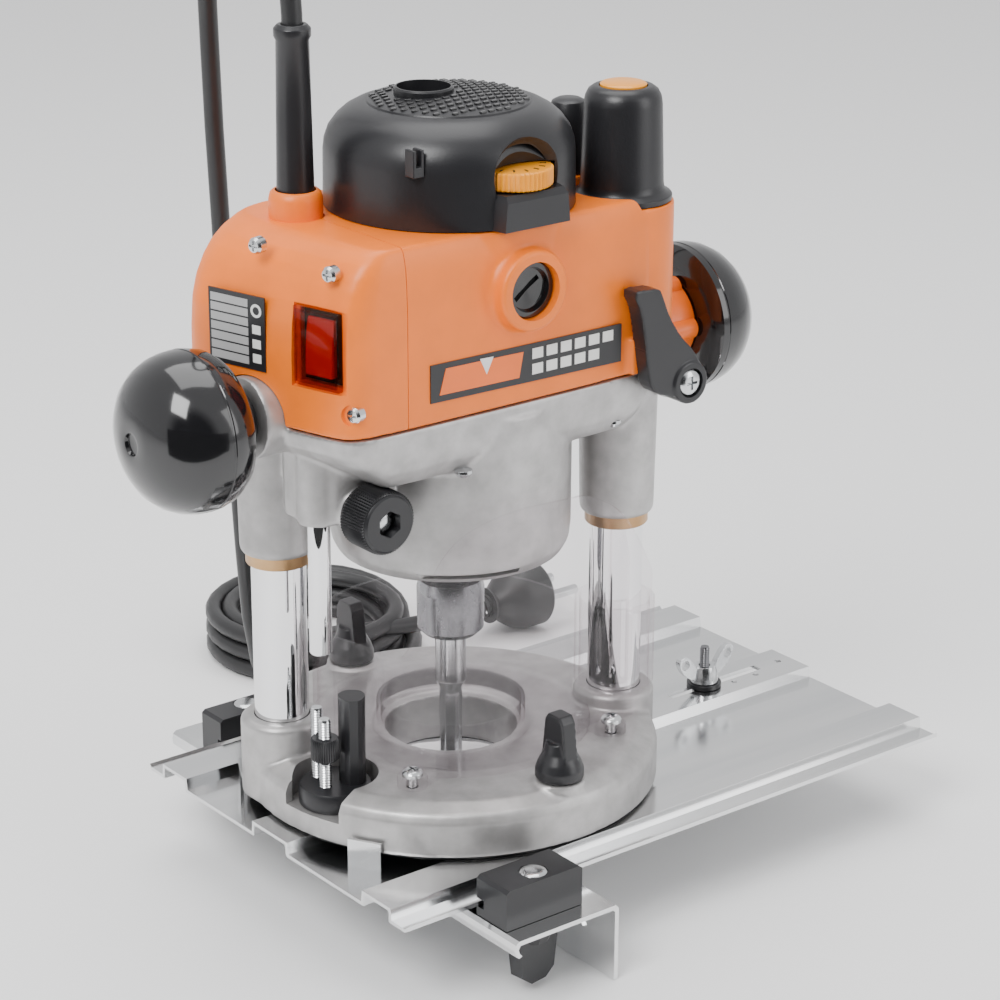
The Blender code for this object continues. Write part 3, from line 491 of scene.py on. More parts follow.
def both_columns():
    return (("left", -1, 34.6), ("right", 1, 28.0))


# ---------------------------------------------------------------- base


SHIELD_SCREWS = (("front_screw", (-50.5, -41.5)), ("side_screw", (43.5, -50.6)))


def base_casting():
    profile = [(27, 0), (85, 0), (85, 14), (83.4, 17.6), (76, 21), (33, 21), (31, 19.4), (27, 19.4)]
    body = turned("base_body", profile, steps=160)
    for side, sign, top in both_columns():
        centre = (sign * COLUMN[0], sign * COLUMN[1], 0)
        add(body, turned(f"{side}_boss", [(0, 1), (16.8, 1), (16.8, top - 2), (15, top), (0, top)], centre,
            steps=72))
    add(body, rod("front_knob_boss", 10.5, 8, 22.5, (-1.5, -72.5, 0)),
        rod("rear_knob_boss", 10.5, 8, 22.5, (1.5, 72.5, 0)))
    melt(body, 0.9, 4)
    cut(body, rod("turret_pocket", 17.2, 9.0, 60, (*TURRET, 0), steps=72))
    cut(body, prism("pocket_mouth", [(-100, -36), (-63, -28), (-78, -3), (-100, -5)], 9.15, 60))
    for side, sign, top in both_columns():
        cut(body, rod(f"{side}_seat", 11.35, 5.7, 60, (sign * COLUMN[0], sign * COLUMN[1], 0)))
    cut(body, rod("front_stem", 3.4, 12, 60, (-1.5, -72.5, 0)),
        rod("rear_stem", 3.4, 12, 60, (1.5, 72.5, 0)))
    cut(body, rod("turret_stem", 3.4, 4, 20, (*TURRET, 0)))
    for name, place in SHIELD_SCREWS:
        cut(body, rod(name, 2.4, 10, 40, (*place, 0)))
    finish_piece(body, CAST, "base", ["base_casting"], 0)
    dress("sole_plate", FACING)


def columns():
    for side, sign, top in both_columns():
        centre = (sign * COLUMN[0], sign * COLUMN[1], 0)
        profile = [(0, 6), (11, 6), (11, 200), (8, 200), (8, 40), (0, 40)]
        finish_piece(turned(f"{side}_chrome", profile, centre, steps=96), CHROME, "base",
            [f"{side}_column"])
        bush = [(11.3, 100.2), (12.6, 100.2), (13.0, 100.8), (13.0, 127.6), (11.3, 127.6)]
        finish_piece(turned(f"{side}_bronze", bush, centre, steps=96), BRONZE, "head", [f"{side}_bush"],
            0.2)
        dress(f"{side}_spring", STEEL)


SHIELD_WALL = (
    (-54.6, 5.0, 70), (-51.0, -4.0, 69.5), (-48.8, -14.0, 69), (-48.8, -25.0, 69.4), (-46.0, -31.6, 73),
    (-42.6, -36.6, 88), (-38.6, -40.8, 108), (-31.6, -46.4, 121), (-21.4, -51.8, 128), (-8.0, -55.4, 131.2),
    (6.0, -55.6, 130.8), (18.6, -52.8, 129), (28.6, -48.6, 126.6), (38, -45.6, 122.5), (50, -44.0, 115),
    (60, -43.4, 103), (70, -43.2, 84),
)


def flowing(places, parts=6):
    """A smooth line through places, by Catmull and Rom's rule."""
    line = []
    last = len(places) - 1
    for index in range(last):
        p0, p1 = Vector(places[max(index - 1, 0)]), Vector(places[index])
        p2, p3 = Vector(places[index + 1]), Vector(places[min(index + 2, last)])
        for part in range(parts):
            t = part / parts
            line.append(tuple(0.5 * (2 * p1 + (p2 - p0) * t + (2 * p0 - 5 * p1 + 4 * p2 - p3) * t * t
                                     + (3 * p1 - p0 - 3 * p2 + p3) * t ** 3)))
    line.append(places[last])
    return line


def thick_wall(name, places, low, thickness):
    half = thickness / 2
    points = []
    for index, (x, y, top) in enumerate(places):
        before = places[max(index - 1, 0)]
        after = places[min(index + 1, len(places) - 1)]
        run = Vector((after[0] - before[0], after[1] - before[1])).normalized()
        side = Vector((-run.y, run.x)) * half
        points += [(x + side.x, y + side.y, low), (x - side.x, y - side.y, low)]
        points += [(x - side.x, y - side.y, top), (x + side.x, y + side.y, top)]
    faces = [[0, 1, 2, 3]]
    for index in range(len(places) - 1):
        first = 4 * index
        for corner in range(4):
            after = (corner + 1) % 4
            faces.append([first + corner, first + after, first + 4 + after, first + 4 + corner])
    last = 4 * (len(places) - 1)
    faces.append([last, last + 1, last + 2, last + 3])
    return mesh_object(name, points, faces)


def chip_shield():
    body = pipe("guard_floor", 57.3, 28.6, 21.3, 23.3, steps=128)
    add(body, pipe("guard_ring", 30.6, 28.9, 22.1, 31.0, steps=128))
    add(body, thick_wall("guard_wall", flowing(SHIELD_WALL), 21.9, 1.8))
    rear = [(56.0 * math.cos(math.radians(a)), 56.0 * math.sin(math.radians(a)), 64.0) for a in range(-13,
        142, 4)]
    add(body, thick_wall("guard_back", rear, 22.3, 1.8))
    add(body, pipe("guard_sleeve", 16.6, 14.6, 29.5, 66.5, (*COLUMN, 0), steps=96))
    add(body, box("guard_foot", (36, 50), (-52, -38), (21.5, 23.6)))
    add(body, prism("guard_front_foot", [(-54, -37), (-46, -46.2), (-34, -42), (-41, -33)], 21.6, 23.7))
    for name, place in SHIELD_SCREWS:
        add(body, rod(f"{name}_lug", 6.0, 21.4, 25.5, (*place, 0)))
    add(body, box("guard_bridge", (61, 66), (-43.4, -37.9), (30.5, 65.5)))
    cut(body, rod("guard_boss_room", 17.3, 10, 29.2, (*COLUMN, 0)),
        rod("guard_left_room", 17.3, 10, 60, (-COLUMN[0], -COLUMN[1], 0)))
    cut(body, rod("guard_turret_room", 16.6, 10, 60, (*TURRET, 0)))
    for name, place in SHIELD_SCREWS:
        cut(body, rod(f"{name}_guard_hole", 2.5, 10, 40, (*place, 0)))
    finish_piece(body, CLEAR, "base", ["chip_shield"], 0.3)
    for name, place in SHIELD_SCREWS:
        profile = [(0, 14), (1.9, 14), (1.9, 25.8), (4.2, 25.8), (4.2, 27.2), (3.4, 28.2), (2.2, 28.7),
            (0, 28.8)]
        screw = cut(turned(f"guard_{name}", profile, (*place, 0), steps=40),
            *cross_tools(name, place, 26.9, 30))
        finish_piece(screw, STEEL, "base", [f"shield_{name}"], 0.1)


def cross_tools(name, place, low, high, width=0.9, reach=2.3):
    x, y = place
    return (
        box(f"{name}_cross_a", (x - reach, x + reach), (y - width / 2, y + width / 2), (low, high)),
        box(f"{name}_cross_b", (x - width / 2, x + width / 2), (y - reach, y + reach), (low, high + 0.1)),
    )


def base_knobs():
    for name, place, degrees in (("front", (-1.5, -72.5), 90), ("rear", (1.5, 72.5), 90)):
        x, y = place
        profile = [(0, 22.9), (9.4, 22.9), (9.8, 24), (9.7, 27), (8.6, 30), (6.4, 34), (5.4, 38), (0, 38)]
        skirt = turned(f"{name}_grip", profile, (*place, 0))
        outline = [(x - 8.4, 24.5), (x + 8.4, 24.5), (x + 7.0, 34), (x + 5.4, 47), (x + 3.6, 49.6),
            (x - 3.6, 49.6), (x - 5.4, 47), (x - 7, 34)]
        grip = prism(f"{name}_wing", outline, y - 3.3, y + 3.3, axis="Y")
        add(skirt, turn_about(grip, (x, y, 0), "Z", degrees))
        melt(skirt, 0.45, 4)
        add(skirt, rod(f"{name}_stem", 2.9, 13, 25, (*place, 0)))
        finish_piece(skirt, SATIN, f"base_clamp_{name}", [f"base_knob_{name}"], 0)


def thread(name, radius, low, high, centre, pitch=1.1):
    """A threaded stud as a row of fine V rings."""
    profile = [(0, low)]
    z = low
    while z + pitch < high:
        profile += [(radius * 0.84, z), (radius, z + pitch / 2)]
        z += pitch
    profile += [(radius * 0.84, z), (radius * 0.8, high), (0, high)]
    return turned(name, profile, centre, steps=32)


def turret():
    x, y = TURRET
    disc = turned("turret_disc", [(0, 4.3), (3.0, 4.3), (3.0, 9.3), (14.6, 9.3), (14.8, 15.6), (14.0, 17),
        (0, 17)], (x, y, 0), steps=96)
    post = [(x + 1.2, y - 6.6), (x + 6.0, y - 9.4), (x + 11.4, y - 5.6), (x + 12.2, y - 0.4),
        (x + 7.4, y + 3.4), (x + 2.0, y + 1.6)]
    add(disc, prism("turret_post_look", rounded(post, 1, 0.2), 15, 53.4))
    stops = (("turret_screw_front", (-5.6, -1.2), 46.2), ("turret_screw_rear", (-2.6, 8.4), 47.0))
    for name, (sx, sy), top in stops:
        cut(disc, rod(f"{name}_seat", 2.6, 12, 40, (x + sx, y + sy, 0), steps=32))
    finish_piece(disc, SATIN, "turret", ["depth_turret"], 0.5)
    for name, (sx, sy), top in stops:
        stud = thread(f"{name}_thread", 2.5, 12.3, top, (x + sx, y + sy, 0))
        finish_piece(stud, STEEL, "turret", [name], 0, 60)
    nut = turned("turret_knurl", [(2.7, 29.0), (5.2, 29.0), (5.7, 29.8), (5.7, 37.4), (5.2, 38.2),
        (2.7, 38.2)], (x - 5.6, y - 1.2, 0), steps=72, ripple=0.06)
    finish_piece(nut, SATIN, "turret_lock", ["turret_nut"], 0)


def plate_and_fence():
    dress("guide_plate", SHEET, 0.45)
    dress("fence_rail", SHEET, 0.4)
    for side in ("front", "rear"):
        dress(f"fence_block_{side}", SATIN, 0.7)
        dress(f"fence_knob_{side}", SATIN, 0.8)
        low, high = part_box(f"fence_rivet_{side}")
        y = (low[1] + high[1]) / 2 / MM
        profile = [(0, -26), (2.3, -26), (2.3, 3.9), (5.4, 3.9), (5.4, 4.8), (4.6, 5.5), (3, 5.8), (0, 5.9)]
        finish_piece(turned(f"rivet_{side}", profile, (FENCE_SCREW_X, y, 0)), STEEL, "fence",
            [f"fence_rivet_{side}"], 0.1)


def pivot():
    x, y = PIVOT
    stud = thread("pivot_thread", 2.2, -3.0, 17.3, (x, y, 0), 0.9)
    add(stud, rod("pivot_head", 5.4, -7.2, -2.9, (x, y, 0), steps=6))
    finish_piece(stud, DARK_STEEL, "pivot", ["pivot_bolt"], 0, 60)
    finish_piece(pipe("washer", 7.6, 2.6, -1.1, 0.9, (x, y, 0)), SATIN, "pivot", ["pivot_washer"], 0.2)
    nut = turned("wing_hub", [(2.6, 1.2), (6.2, 1.2), (5.6, 6), (4.6, 8.6), (2.6, 8.6)], (x, y, 0))
    for sign in (-1, 1):
        outline = [(3.6, 3.0), (6.4, 2.4), (12.4, 6.4), (15.8, 11.6), (15.4, 15.0), (11.6, 15.8),
            (8.4, 12.4), (5.2, 8.0)]
        wing = prism(f"wing_{sign + 1}", rounded([(x + sign * u, v) for u, v in outline], 2), y - 1.5,
            y + 1.5, axis="Y")
        hole = rod(f"wing_hole_{sign + 1}", 2.2, y - 5, y + 5, (x + sign * 12.2, 0, 11.6), axis="Y")
        add(nut, cut(wing, hole))
    cut(nut, rod("wing_bore", 2.6, 0, 30, (x, y, 0)))
    finish_piece(nut, STEEL, "wing_nut", ["pivot_wing_nut"], 0.4)


# ---------------------------------------------------------------- head: casting and shell


PLAN = (
    (-66, -47.2), (58, -47.2), (72, -40.5), (80, -22), (77, 8), (66, 21), (46, 33), (26, 43), (5, 48.4),
    (-58, 47.5), (-84, 44), (-97, 37), (-101, 25), (-94, -0.5), (-82.6, -41.2), (-77, -45.4),
)


def plan(shrink_left, shrink, right_shrink=0.0):
    points = []
    for x, y in rounded(PLAN):
        reach = max(0.0, (-x - 55) / 46)
        near_right = max(0.0, (x - 50) / 28)
        points.append((x + shrink_left * reach - right_shrink * near_right, y * (1 - shrink / 60)))
    return points


def motor_casting():
    sections = [(146.6, plan(36, 9, 15)), (150, plan(29, 5.4, 10)), (154, plan(21, 2.6, 5.4)),
        (158, plan(12, 1.1, 2.6)),
                (163, plan(4, 0.3, 0.6)), (170.4, plan(0, 0, 0))]
    skirt = loft("casting_body", sections)
    add(skirt, turned("bell", [(0, 98), (40, 98), (45.4, 99.6), (47.8, 104), (48.4, 110), (48.6, 165),
        (0, 165)], steps=160))
    for side, sign, top in both_columns():
        centre = (sign * COLUMN[0], sign * COLUMN[1], 0)
        add(skirt, turned(f"{side}_sleeve", [(0, 105.2), (14.4, 105.2), (15.2, 107), (16.2, 165), (0, 165)],
            centre, steps=80))
        boss = rod(f"{side}_boss", 16.0, sign * 60, sign * 97.0, (0, 0, HANDLE_Z), axis="X", steps=80)
        inner, outer = sorted((sign * 40.0, sign * 78.0))
        add(skirt, cut(boss, box(f"{side}_boss_top", (inner, outer), (-25, 25), (JOINT_Z - 0.8, 220))))
    add(skirt, rod("ear", 8.2, 128, 165, (*ROD, 0)))
    add(skirt, prism("ear_web", rounded([(-79, -10), (-74, -20), (-60, -26), (-40, -22), (-40, 8),
        (-66, 14), (-79, 4)], 1), 129, 164))
    add(skirt, rod("knob_boss", 9.0, -26, -8, (-61, 0, 133.5), axis="Y"))
    add(skirt, prism("sleeve_web", [(36, -33), (64, -35), (68, -10), (36, 4)], 146.4, 163.3))
    x, y, z = LEVER
    add(skirt, cut(rod("lever_pad", 9.0, 1.7, 22.0, (x, y, z), axis="Y"),
        box("pad_top", (x - 20, x + 20), (y - 10, y + 40), (170.1, 200))))
    melt(skirt, 0.95, 7)
    cut(skirt, box("joint_trim", (-77.5, 77.5), (-60, 60), (170.5, 190)))
    cut(skirt, rod("motor_room", 43.5, 112.4, 190, steps=96), rod("spindle_room", 15.2, 90, 113),
        rod("bearing_room", 18.1, 103.7, 113))
    for side, sign, top in both_columns():
        centre = (sign * COLUMN[0], sign * COLUMN[1], 0)
        cut(skirt, rod(f"{side}_bush_room", 13.3, 95, 128, centre),
            rod(f"{side}_bore", 11.6, 95, 200, centre))
        cut(skirt, rod(f"{side}_stud", 5.6, sign * 85.0, sign * 110, (0, 0, HANDLE_Z), axis="X"))
    cut(skirt, rod("rod_bore", 4.9, 120, 180, (*ROD, 0)),
        rod("clamp_bore", 3.5, -40, -17, (-61, 0, 133.5), axis="Y"))
    cut(skirt, rod("lever_bore", 3.3, -5, 13, (x, y, z), axis="Y"))
    cut(skirt, turn_about(box("bell_slot", (-30, 12), (-52, -38), (101.2, 103.2)), (0, 0, 0), "Z", -17))
    finish_piece(skirt, CAST, "head", ["motor_casting"], 0)
    heads = []
    for number, (hx, hy, hz) in enumerate(((-27, -44.0, 148.6), (50.6, -40, 151.6))):
        heads.append(turned(f"under_screw_{number}", [(0, 0), (3.4, 0), (3.6, -1.2), (2.6, -2.6), (0, -3)],
            (hx, hy, hz), steps=32))
    finish_piece(join("under_screws", heads), STEEL, "head", (), 0.1)


SWITCH = (-85.4, -31.4, 204.6)


def place_on_side(obj):
    turn = Matrix.Rotation(math.radians(15.6), 4, "Z")
    shift = Matrix.Translation(Vector(SWITCH) * MM)
    lower = Matrix.Translation(Vector((0, 0, -BASE_Z * MM)))
    obj.data.transform(lower.inverted() @ shift @ turn @ lower)
    return obj


def shell_body():
    sections = []
    for z, left, all_round in ((171.0, 0, 0), (200, 0.2, 0), (212, 1.2, 0), (220, 3.4, 0.2), (227, 7, 0.6),
        (232, 11, 1.1),
                               (236, 16, 2), (239, 22, 3.2), (240.6, 27, 4.6)):
        sections.append((z, plan(left, all_round)))
    body = loft("shell", sections)
    add(body, turned("shell_rim", [(0, 180), (44.0, 184), (47.4, 196), (48.6, 206), (48.8, 240.6),
        (0, 240.6)], steps=128))
    add(body, rod("shell_column", 20.8, 171.2, 235.6, (*COLUMN, 0), steps=96))
    for side, sign in (("front", -1), ("rear", 1)):
        profile = [(0, sign * 38), (19.0, sign * 38), (17.6, sign * 46.8), (16.2, sign * 49.4),
            (15.8, sign * 53.2), (15.0, sign * 54.0), (0, sign * 54.0)]
        add(body, turned(f"shell_{side}_ring", profile, (0, 0, 216.4), "Y", 96))
    add(body, box("lever_stop", (52.6, 59), (-48.9, -40), (171.4, 185.9)))
    melt(body, 0.9, 5)
    cut(body, box("shell_foot", (-120, 120), (-70, 70), (160, 171.0)),
        rod("adjuster_room", 21.4, 235.7, 260, (*COLUMN, 0), steps=96))
    cut(body, rod("shell_mouth", 44.6, 150.7, 260, steps=128),
        rod("shell_column_room", 17.6, 150.3, 228, (*COLUMN, 0)))
    cut(body, rod("shell_left_room", 12.4, 150.3, 204, (-COLUMN[0], -COLUMN[1], 0)),
        rod("shell_rod_room", 6, 150.3, 180, (*ROD, 0)))
    cut(body, rod("shell_boss_room", 16.4, -120, 120, (0, 0, HANDLE_Z), axis="X", steps=96))
    cut(body, rod("shell_brush_bore", 11.4, -70, 70, (0, 0, 216.4), axis="Y", steps=96))
    for number, (x, y, z) in enumerate(COVER_SCREWS):
        cut(body, turn_about(rod(f"screw_seat_{number}", 4.2, -12, 2.2, (x, y, z), axis="X", steps=40),
            (x, y, z), "Z", 15.6))
    return body


COVER_SCREWS = ((-84.3, -35.8, 233.0), (-80.8, -45.2, 180.9), (-93.4, -1.7, 238.0))


def shell():
    body = shell_body()
    side = body.copy()
    side.data = body.data.copy()
    side.name = "shell_side"
    bpy.context.scene.collection.objects.link(side)
    cut(body, box("shell_split", (-140, -54.85), (-80, 80), (140, 300)),
        rod("collar_room", 10.9, 180, 300, (*BOOT, 0)))
    cut(side, box("side_split", (-55.15, 140), (-80, 80), (140, 300)))
    pocket = [(-30, -18.4), (1.4, -16.2), (3.4, -14.6), (3.4, 14.6), (1.4, 16.6), (-30, 19.4)]
    cut(side, place_on_side(prism("pocket_look", pocket, -12.6, 12.0, axis="Y")),
        place_on_side(box("recess_look", (-30, 10), (-9.8, 9.8), (-14.2, 14.2))))
    collar = turned("collar_look", [(0, 222), (10.4, 222), (10.4, 247.6), (9.8, 250), (8.6, 251), (0, 251)],
        (*BOOT, 0))
    add(side, collar)
    cut(side, rod("collar_bore", 7.9, 195, 270, (*BOOT, 0)),
        place_on_side(box("switch_room", (4.9, 23), (-10, 10), (-14.4, 14.4))))
    finish_piece(body, ORANGE, "head", ["motor_housing"], 0.3, 50)
    finish_piece(side, ORANGE, "head", ["switch_side_cover"], 0.3, 50)
    heads = []
    for number, (x, y, z) in enumerate(COVER_SCREWS):
        head = turned(f"cover_screw_{number}", [(0, 6), (3.2, 6), (3.2, 2.8), (2.4, 1.7), (0, 1.4)],
            (x, y, z), "X", 36)
        slot = box(f"cover_slot_{number}", (x - 3, x + 2.4), (y - 2, y + 2), (z - 0.4, z + 0.4))
        other = box(f"cover_slot_b_{number}", (x - 3.1, x + 2.4), (y - 0.4, y + 0.4), (z - 2, z + 2))
        heads.append(turn_about(cut(head, slot, other), (x, y, z), "Z", 15.6))
    finish_piece(join("cover_screws", heads), STEEL, "head", (), 0.1)


def switch():
    dress("switch_body", BLACK, 0.3)
    rocker = [(1.2, -11.0), (4.6, -11.0), (4.6, 11.0), (3.2, 11.0), (2.2, 6), (1.5, 0.0), (1.2, -6)]
    finish_piece(place_on_side(prism("rocker_look", rocker, -6.4, 6.4, axis="Y")), RED, "rocker",
        ["switch_rocker"], 0.5)
    window = box("window_look", (-0.6, 0.6), (-9.6, 9.6), (-14.0, 14.0))
    finish_piece(place_on_side(window), SMOKED, "head", ["switch_window"], 0.3)
    rim = cut(box("rim_look", (-0.2, 2.6), (-10.6, 10.6), (-15.2, 15.2)),
        box("rim_hole", (-5, 5), (-8.6, 8.6), (-13.0, 13.0)))
    finish_piece(place_on_side(rim), SMOKED, "head", (), 0.4)


# ---------------------------------------------------------------- head: labels


def strip(name, corners, material, thickness, body="head"):
    """A thin upright plate: (x, z) corners, and thickness as its two y values."""
    low, high = thickness
    piece = prism(name, corners, low, high, axis="Y")
    return finish_piece(piece, material, body, (), 0)


def front_label():
    """A black strip with an orange bar, a white wedge and two rows of short white bars."""
    strip("label_strip", [(-45, 179.4), (48, 178.0), (48, 193.4), (-45, 194.3)], SATIN, (-47.62, -47.0))
    strip("label_bar", [(-41, 182.0), (-3, 181.4), (-1, 191.4), (-38, 192.0)], DETAIL, (-47.8, -47.5))
    strip("label_wedge", [(-22, 192.6), (-15.6, 192.4), (-18.8, 186.0)], WHITE, (-47.94, -47.7))
    bars = []
    for row, (z, count) in enumerate(((187.6, 6), (181.4, 5))):
        for number in range(count):
            x = 3.4 + 7.0 * number
            bars.append(prism(f"bar_{row}_{number}", [(x, z), (x + 5.2, z), (x + 5.2, z + 4.2),
                (x, z + 4.2)], -47.8, -47.5, axis="Y"))
    finish_piece(join("label_rows", bars), WHITE, "head", (), 0)


def side_label():
    """A generic rating plate on the end wall: a black plate with ruled grey rows."""
    y0, y1 = 24.2, 51.6
    plate = place_on_side(prism("rating_plate", [(-0.35, -13.6), (0.3, -13.6), (0.3, 15.2), (-0.35, 15.2)],
        y0, y1, axis="Y"))
    finish_piece(plate, SATIN, "head", (), 0)
    rows = []
    for number in range(7):
        z = -11.8 + 3.7 * number
        rows.append(place_on_side(prism(f"rating_row_{number}",
            [(-0.55, z), (-0.2, z), (-0.2, z + 3.0), (-0.55, z + 3.0)], y0 + 8, y1 - 1.2, axis="Y")))
    finish_piece(join("rating_rows", rows), GREY, "head", (), 0)
    marks = []
    for number, z in enumerate((-10.6, -5.0, 0.6)):
        marks.append(place_on_side(prism(f"rating_mark_{number}",
            [(-0.5, z), (-0.2, z), (-0.2, z + 3.4), (-0.5, z + 3.4)], y0 + 2, y0 + 6, axis="Y")))
    marks.append(place_on_side(turned("rating_ring", [(1.6, -0.5), (2.6, -0.5), (2.6, -0.2), (1.6, -0.2)],
        (0, y0 + 4, 9.6), "X", 40)))
    finish_piece(join("rating_marks", marks), WHITE, "head", (), 0)


# ---------------------------------------------------------------- head: cap, knobs and controls


def top_cap():
    profile = [(45.2, CAP_Z), (48.9, CAP_Z), (48.75, 250), (48.6, 262), (48.1, 266), (46.6, 270.2),
        (43.6, 274.2), (40.6, 276.8),
               (37.0, 278.8), (33, 280.2), (31.8, 280.2), (31.4, 280.8), (28, 281.5), (14, 283.2),
               (0, 283.8), (0, 280.8), (26, 278.4), (36, 275.4),
               (42, 270), (44.8, 262)]
    body = turned("cap_look", profile, steps=160)
    backing_low = [(-19, -42.6), (22, -42.6), (20, -24), (-17, -24)]
    add(body, turned("cap_chimney", [(0, 271), (11.6, 271), (11.6, 284.9), (11.0, 285.6), (0, 285.6)],
        (-7.5, 6.0, 0), steps=80))
    add(body, loft("cap_backing", [(242, backing_low), (262, backing_low),
        (275, [(-14, -36), (17, -36), (15, -24), (-12, -24)])]))
    pocket = [(0, -22), (6, -21), (12, -18.4), (16.2, -13.6), (18.8, -7), (20, 0), (18.8, 7), (16.2, 13.6),
        (12, 18.4), (6, 21), (0, 22)]
    cut(body, turned("cap_pocket", pocket, (1.5, -60.4, 260), axis="Y", steps=80))
    pod = loft("cap_pod", [(CAP_Z, [(-14, -53), (17, -53), (19, -40), (-16, -40)]),
        (252, [(-13, -53), (16, -53), (18, -40), (-15, -40)]),
                           (254.4, [(-12, -51), (15, -51), (18, -40), (-15, -40)])])
    add(body, pod)
    cut(body, rod("cap_hole", 10.4, 262, 300, (-7.5, 6.0, 0)),
        rod("cap_dial_room", 16.2, 254.2, 262.8, (1.5, -37.5, 0)))
    cut(body, rod("cap_axle_room", 2.7, 246, 256, (1.5, -37.5, 0)))
    finish_piece(body, BLACK, "head", ["top_cap"], 0.9, 30)
    dome_vents()
    side_lug = box("cap_lug", (-41.5, -36.5), (-33, -27.5), (262, 272.4))
    finish_piece(cut(side_lug, box("lug_slot", (-40, -38), (-34, -26), (266, 274))), BLACK, "head", (), 0.4)


def dome_height(radius):
    return 283.8 - 2.3 * (radius / 28) ** 2


def dome_vents():
    """Staggered rows of short ribs on the vent field of the crown."""
    ribs = []
    for row in range(-7, 8):
        for column in range(-8, 9):
            x = 3.9 * column + 1.95 * (row % 2)
            y = 4.1 * row
            reach = math.hypot(x, y)
            if reach > 30 or math.hypot(x + 7.5, y - 6) < 13.4:
                continue
            z = dome_height(reach)
            rib = box(f"rib_{row}_{column}", (x - 1.35, x + 1.35), (y - 0.75, y + 0.75),
                (z - 1.0, z + 0.55))
            ribs.append(rib)
    finish_piece(join("vent_ribs", ribs), GLOSS, "head", (), 0.35)


def controls():
    dial = turned("dial_look", [(0, 248), (2.2, 248), (2.2, 254.8), (14.8, 254.8), (15.4, 255.4),
        (15.4, 261.4), (14.8, 262.0), (12, 262.2), (0, 262.2)],
                  (1.5, -37.5, 0), steps=96, ripple=0.045)
    finish_piece(dial, AMBER, "dial", ["speed_dial"], 0)
    marks = []
    for number in range(6):
        angle = math.radians(210 + 24 * number)
        x, y = 1.5 + 11.4 * math.cos(angle), -37.5 + 11.4 * math.sin(angle)
        marks.append(turn_about(box(f"dial_mark_{number}", (x - 0.35, x + 0.35), (y - 1.2, y + 1.2),
            (262.0, 262.35)), (x, y, 262), "Z", math.degrees(angle) + 90))
    finish_piece(join("dial_marks", marks), SATIN, "dial", (), 0)
    for side, sign in (("front", -1), ("rear", 1)):
        profile = [(0, sign * 44), (11.1, sign * 44), (11.1, sign * 50.2), (10.6, sign * 50.6),
            (8.8, sign * 50.6), (8.0, sign * 48.2), (0, sign * 47.4)]
        cap = turned(f"{side}_brush_look", profile, (0, 0, 216.4), "Y", 80)
        low, high = sorted((sign * 46.4, sign * 49))
        cut(cap, turn_about(box(f"{side}_brush_slot", (-6.6, 6.6), (low, high), (215.4, 217.4)),
            (0, 0, 216.4), "Y", -35))
        finish_piece(cap, GLOSS, "head", [f"{side}_brush_cap"], 0.3)
    boot = [(4.3, 226), (7.3, 226), (7.2, 252), (6.75, 280), (6.3, 308), (7.1, 309.5), (7.1, 312.4),
        (5.6, 314), (4.3, 314)]
    finish_piece(turned("boot_look", boot, (*BOOT, 0)), SATIN, "head", ["cord_boot"], 0.3)
    adjuster = [(0, 236.0), (19.9, 236.0), (19.9, 238.0), (19.2, 238.6), (17.6, 239.4), (16.8, 240.6),
        (16.5, 243), (15.5, 274), (15.0, 277),
                (13.8, 279.4), (12, 280.7), (10.6, 281.0), (9.6, 281.0), (9.6, 280.0), (0, 280.0)]
    finish_piece(turned("adjuster_look", adjuster, (*COLUMN, 0), steps=120), BLACK, "adjuster",
        ["adjuster_cap"], 0.2, 40)
    disc = [(0, 280.2), (9.2, 280.2), (9.2, 281.5), (8.6, 282.0), (7.6, 282.3), (0, 282.4)]
    finish_piece(turned("disc_look", disc, (*COLUMN, 0), steps=96), AMBER, "adjuster", ["adjuster_disc"], 0)
    clamp = [(0, 240.9), (8.6, 240.9), (8.3, 262), (7.9, 266), (6.8, 269.4), (4.6, 270.5), (0, 270.5)]
    finish_piece(turned("clamp_look", clamp, (66, 8, 0)), BLACK, "head", ["rear_clamp"], 0.3)


def knobs():
    for side, sign in (("left", -1), ("right", 1)):
        inner = [(0, 86.0), (4.8, 86.0)]
        if side == "left":
            inner += [(4.8, 98.0), (11.5, 98.6), (13.0, 101), (15, 104.4), (22, 106.4), (27, 109.6),
                (29.6, 113.4)]
        else:
            inner += [(4.8, 114.4), (19, 114.6), (25.6, 115.4), (29.4, 117)]
        outer = [(30.8, 118), (31.0, 120.4), (30.7, 120.7), (30.7, 121.3), (31.0, 121.6), (30.7, 126),
            (29.6, 130.6), (27.4, 135.2), (24, 139.4),
                 (19.5, 142.6), (14.8, 144.8), (10, 146.1), (5.2, 146.8), (4.4, 146.6), (3.9, 145.4),
                 (0, 144.8)]
        profile = [(r, sign * a) for r, a in inner + outer]
        finish_piece(turned(f"{side}_ball", profile, (0, 0, HANDLE_Z), "X", 144), GLOSS, "head",
            [f"{side}_knob"], 0)
    ring = pipe("clutch_look", 17.4, 5.4, 99.0, 113.8, (0, 0, HANDLE_Z), "X", 96)
    for number in range(5):
        angle = math.radians(36 + 72 * number)
        y, z = 15.5 * math.cos(angle), HANDLE_Z + 15.5 * math.sin(angle)
        add(ring, rod(f"clutch_lobe_{number}", 4.6, 99.4, 113.2, (0, y, z), "X", 40))
    cut(ring, pipe("clutch_groove", 13.4, 10.6, 90, 100.8, (0, 0, HANDLE_Z), "X"))
    finish_piece(ring, DETAIL, "clutch", ["clutch_ring"], 0.6)


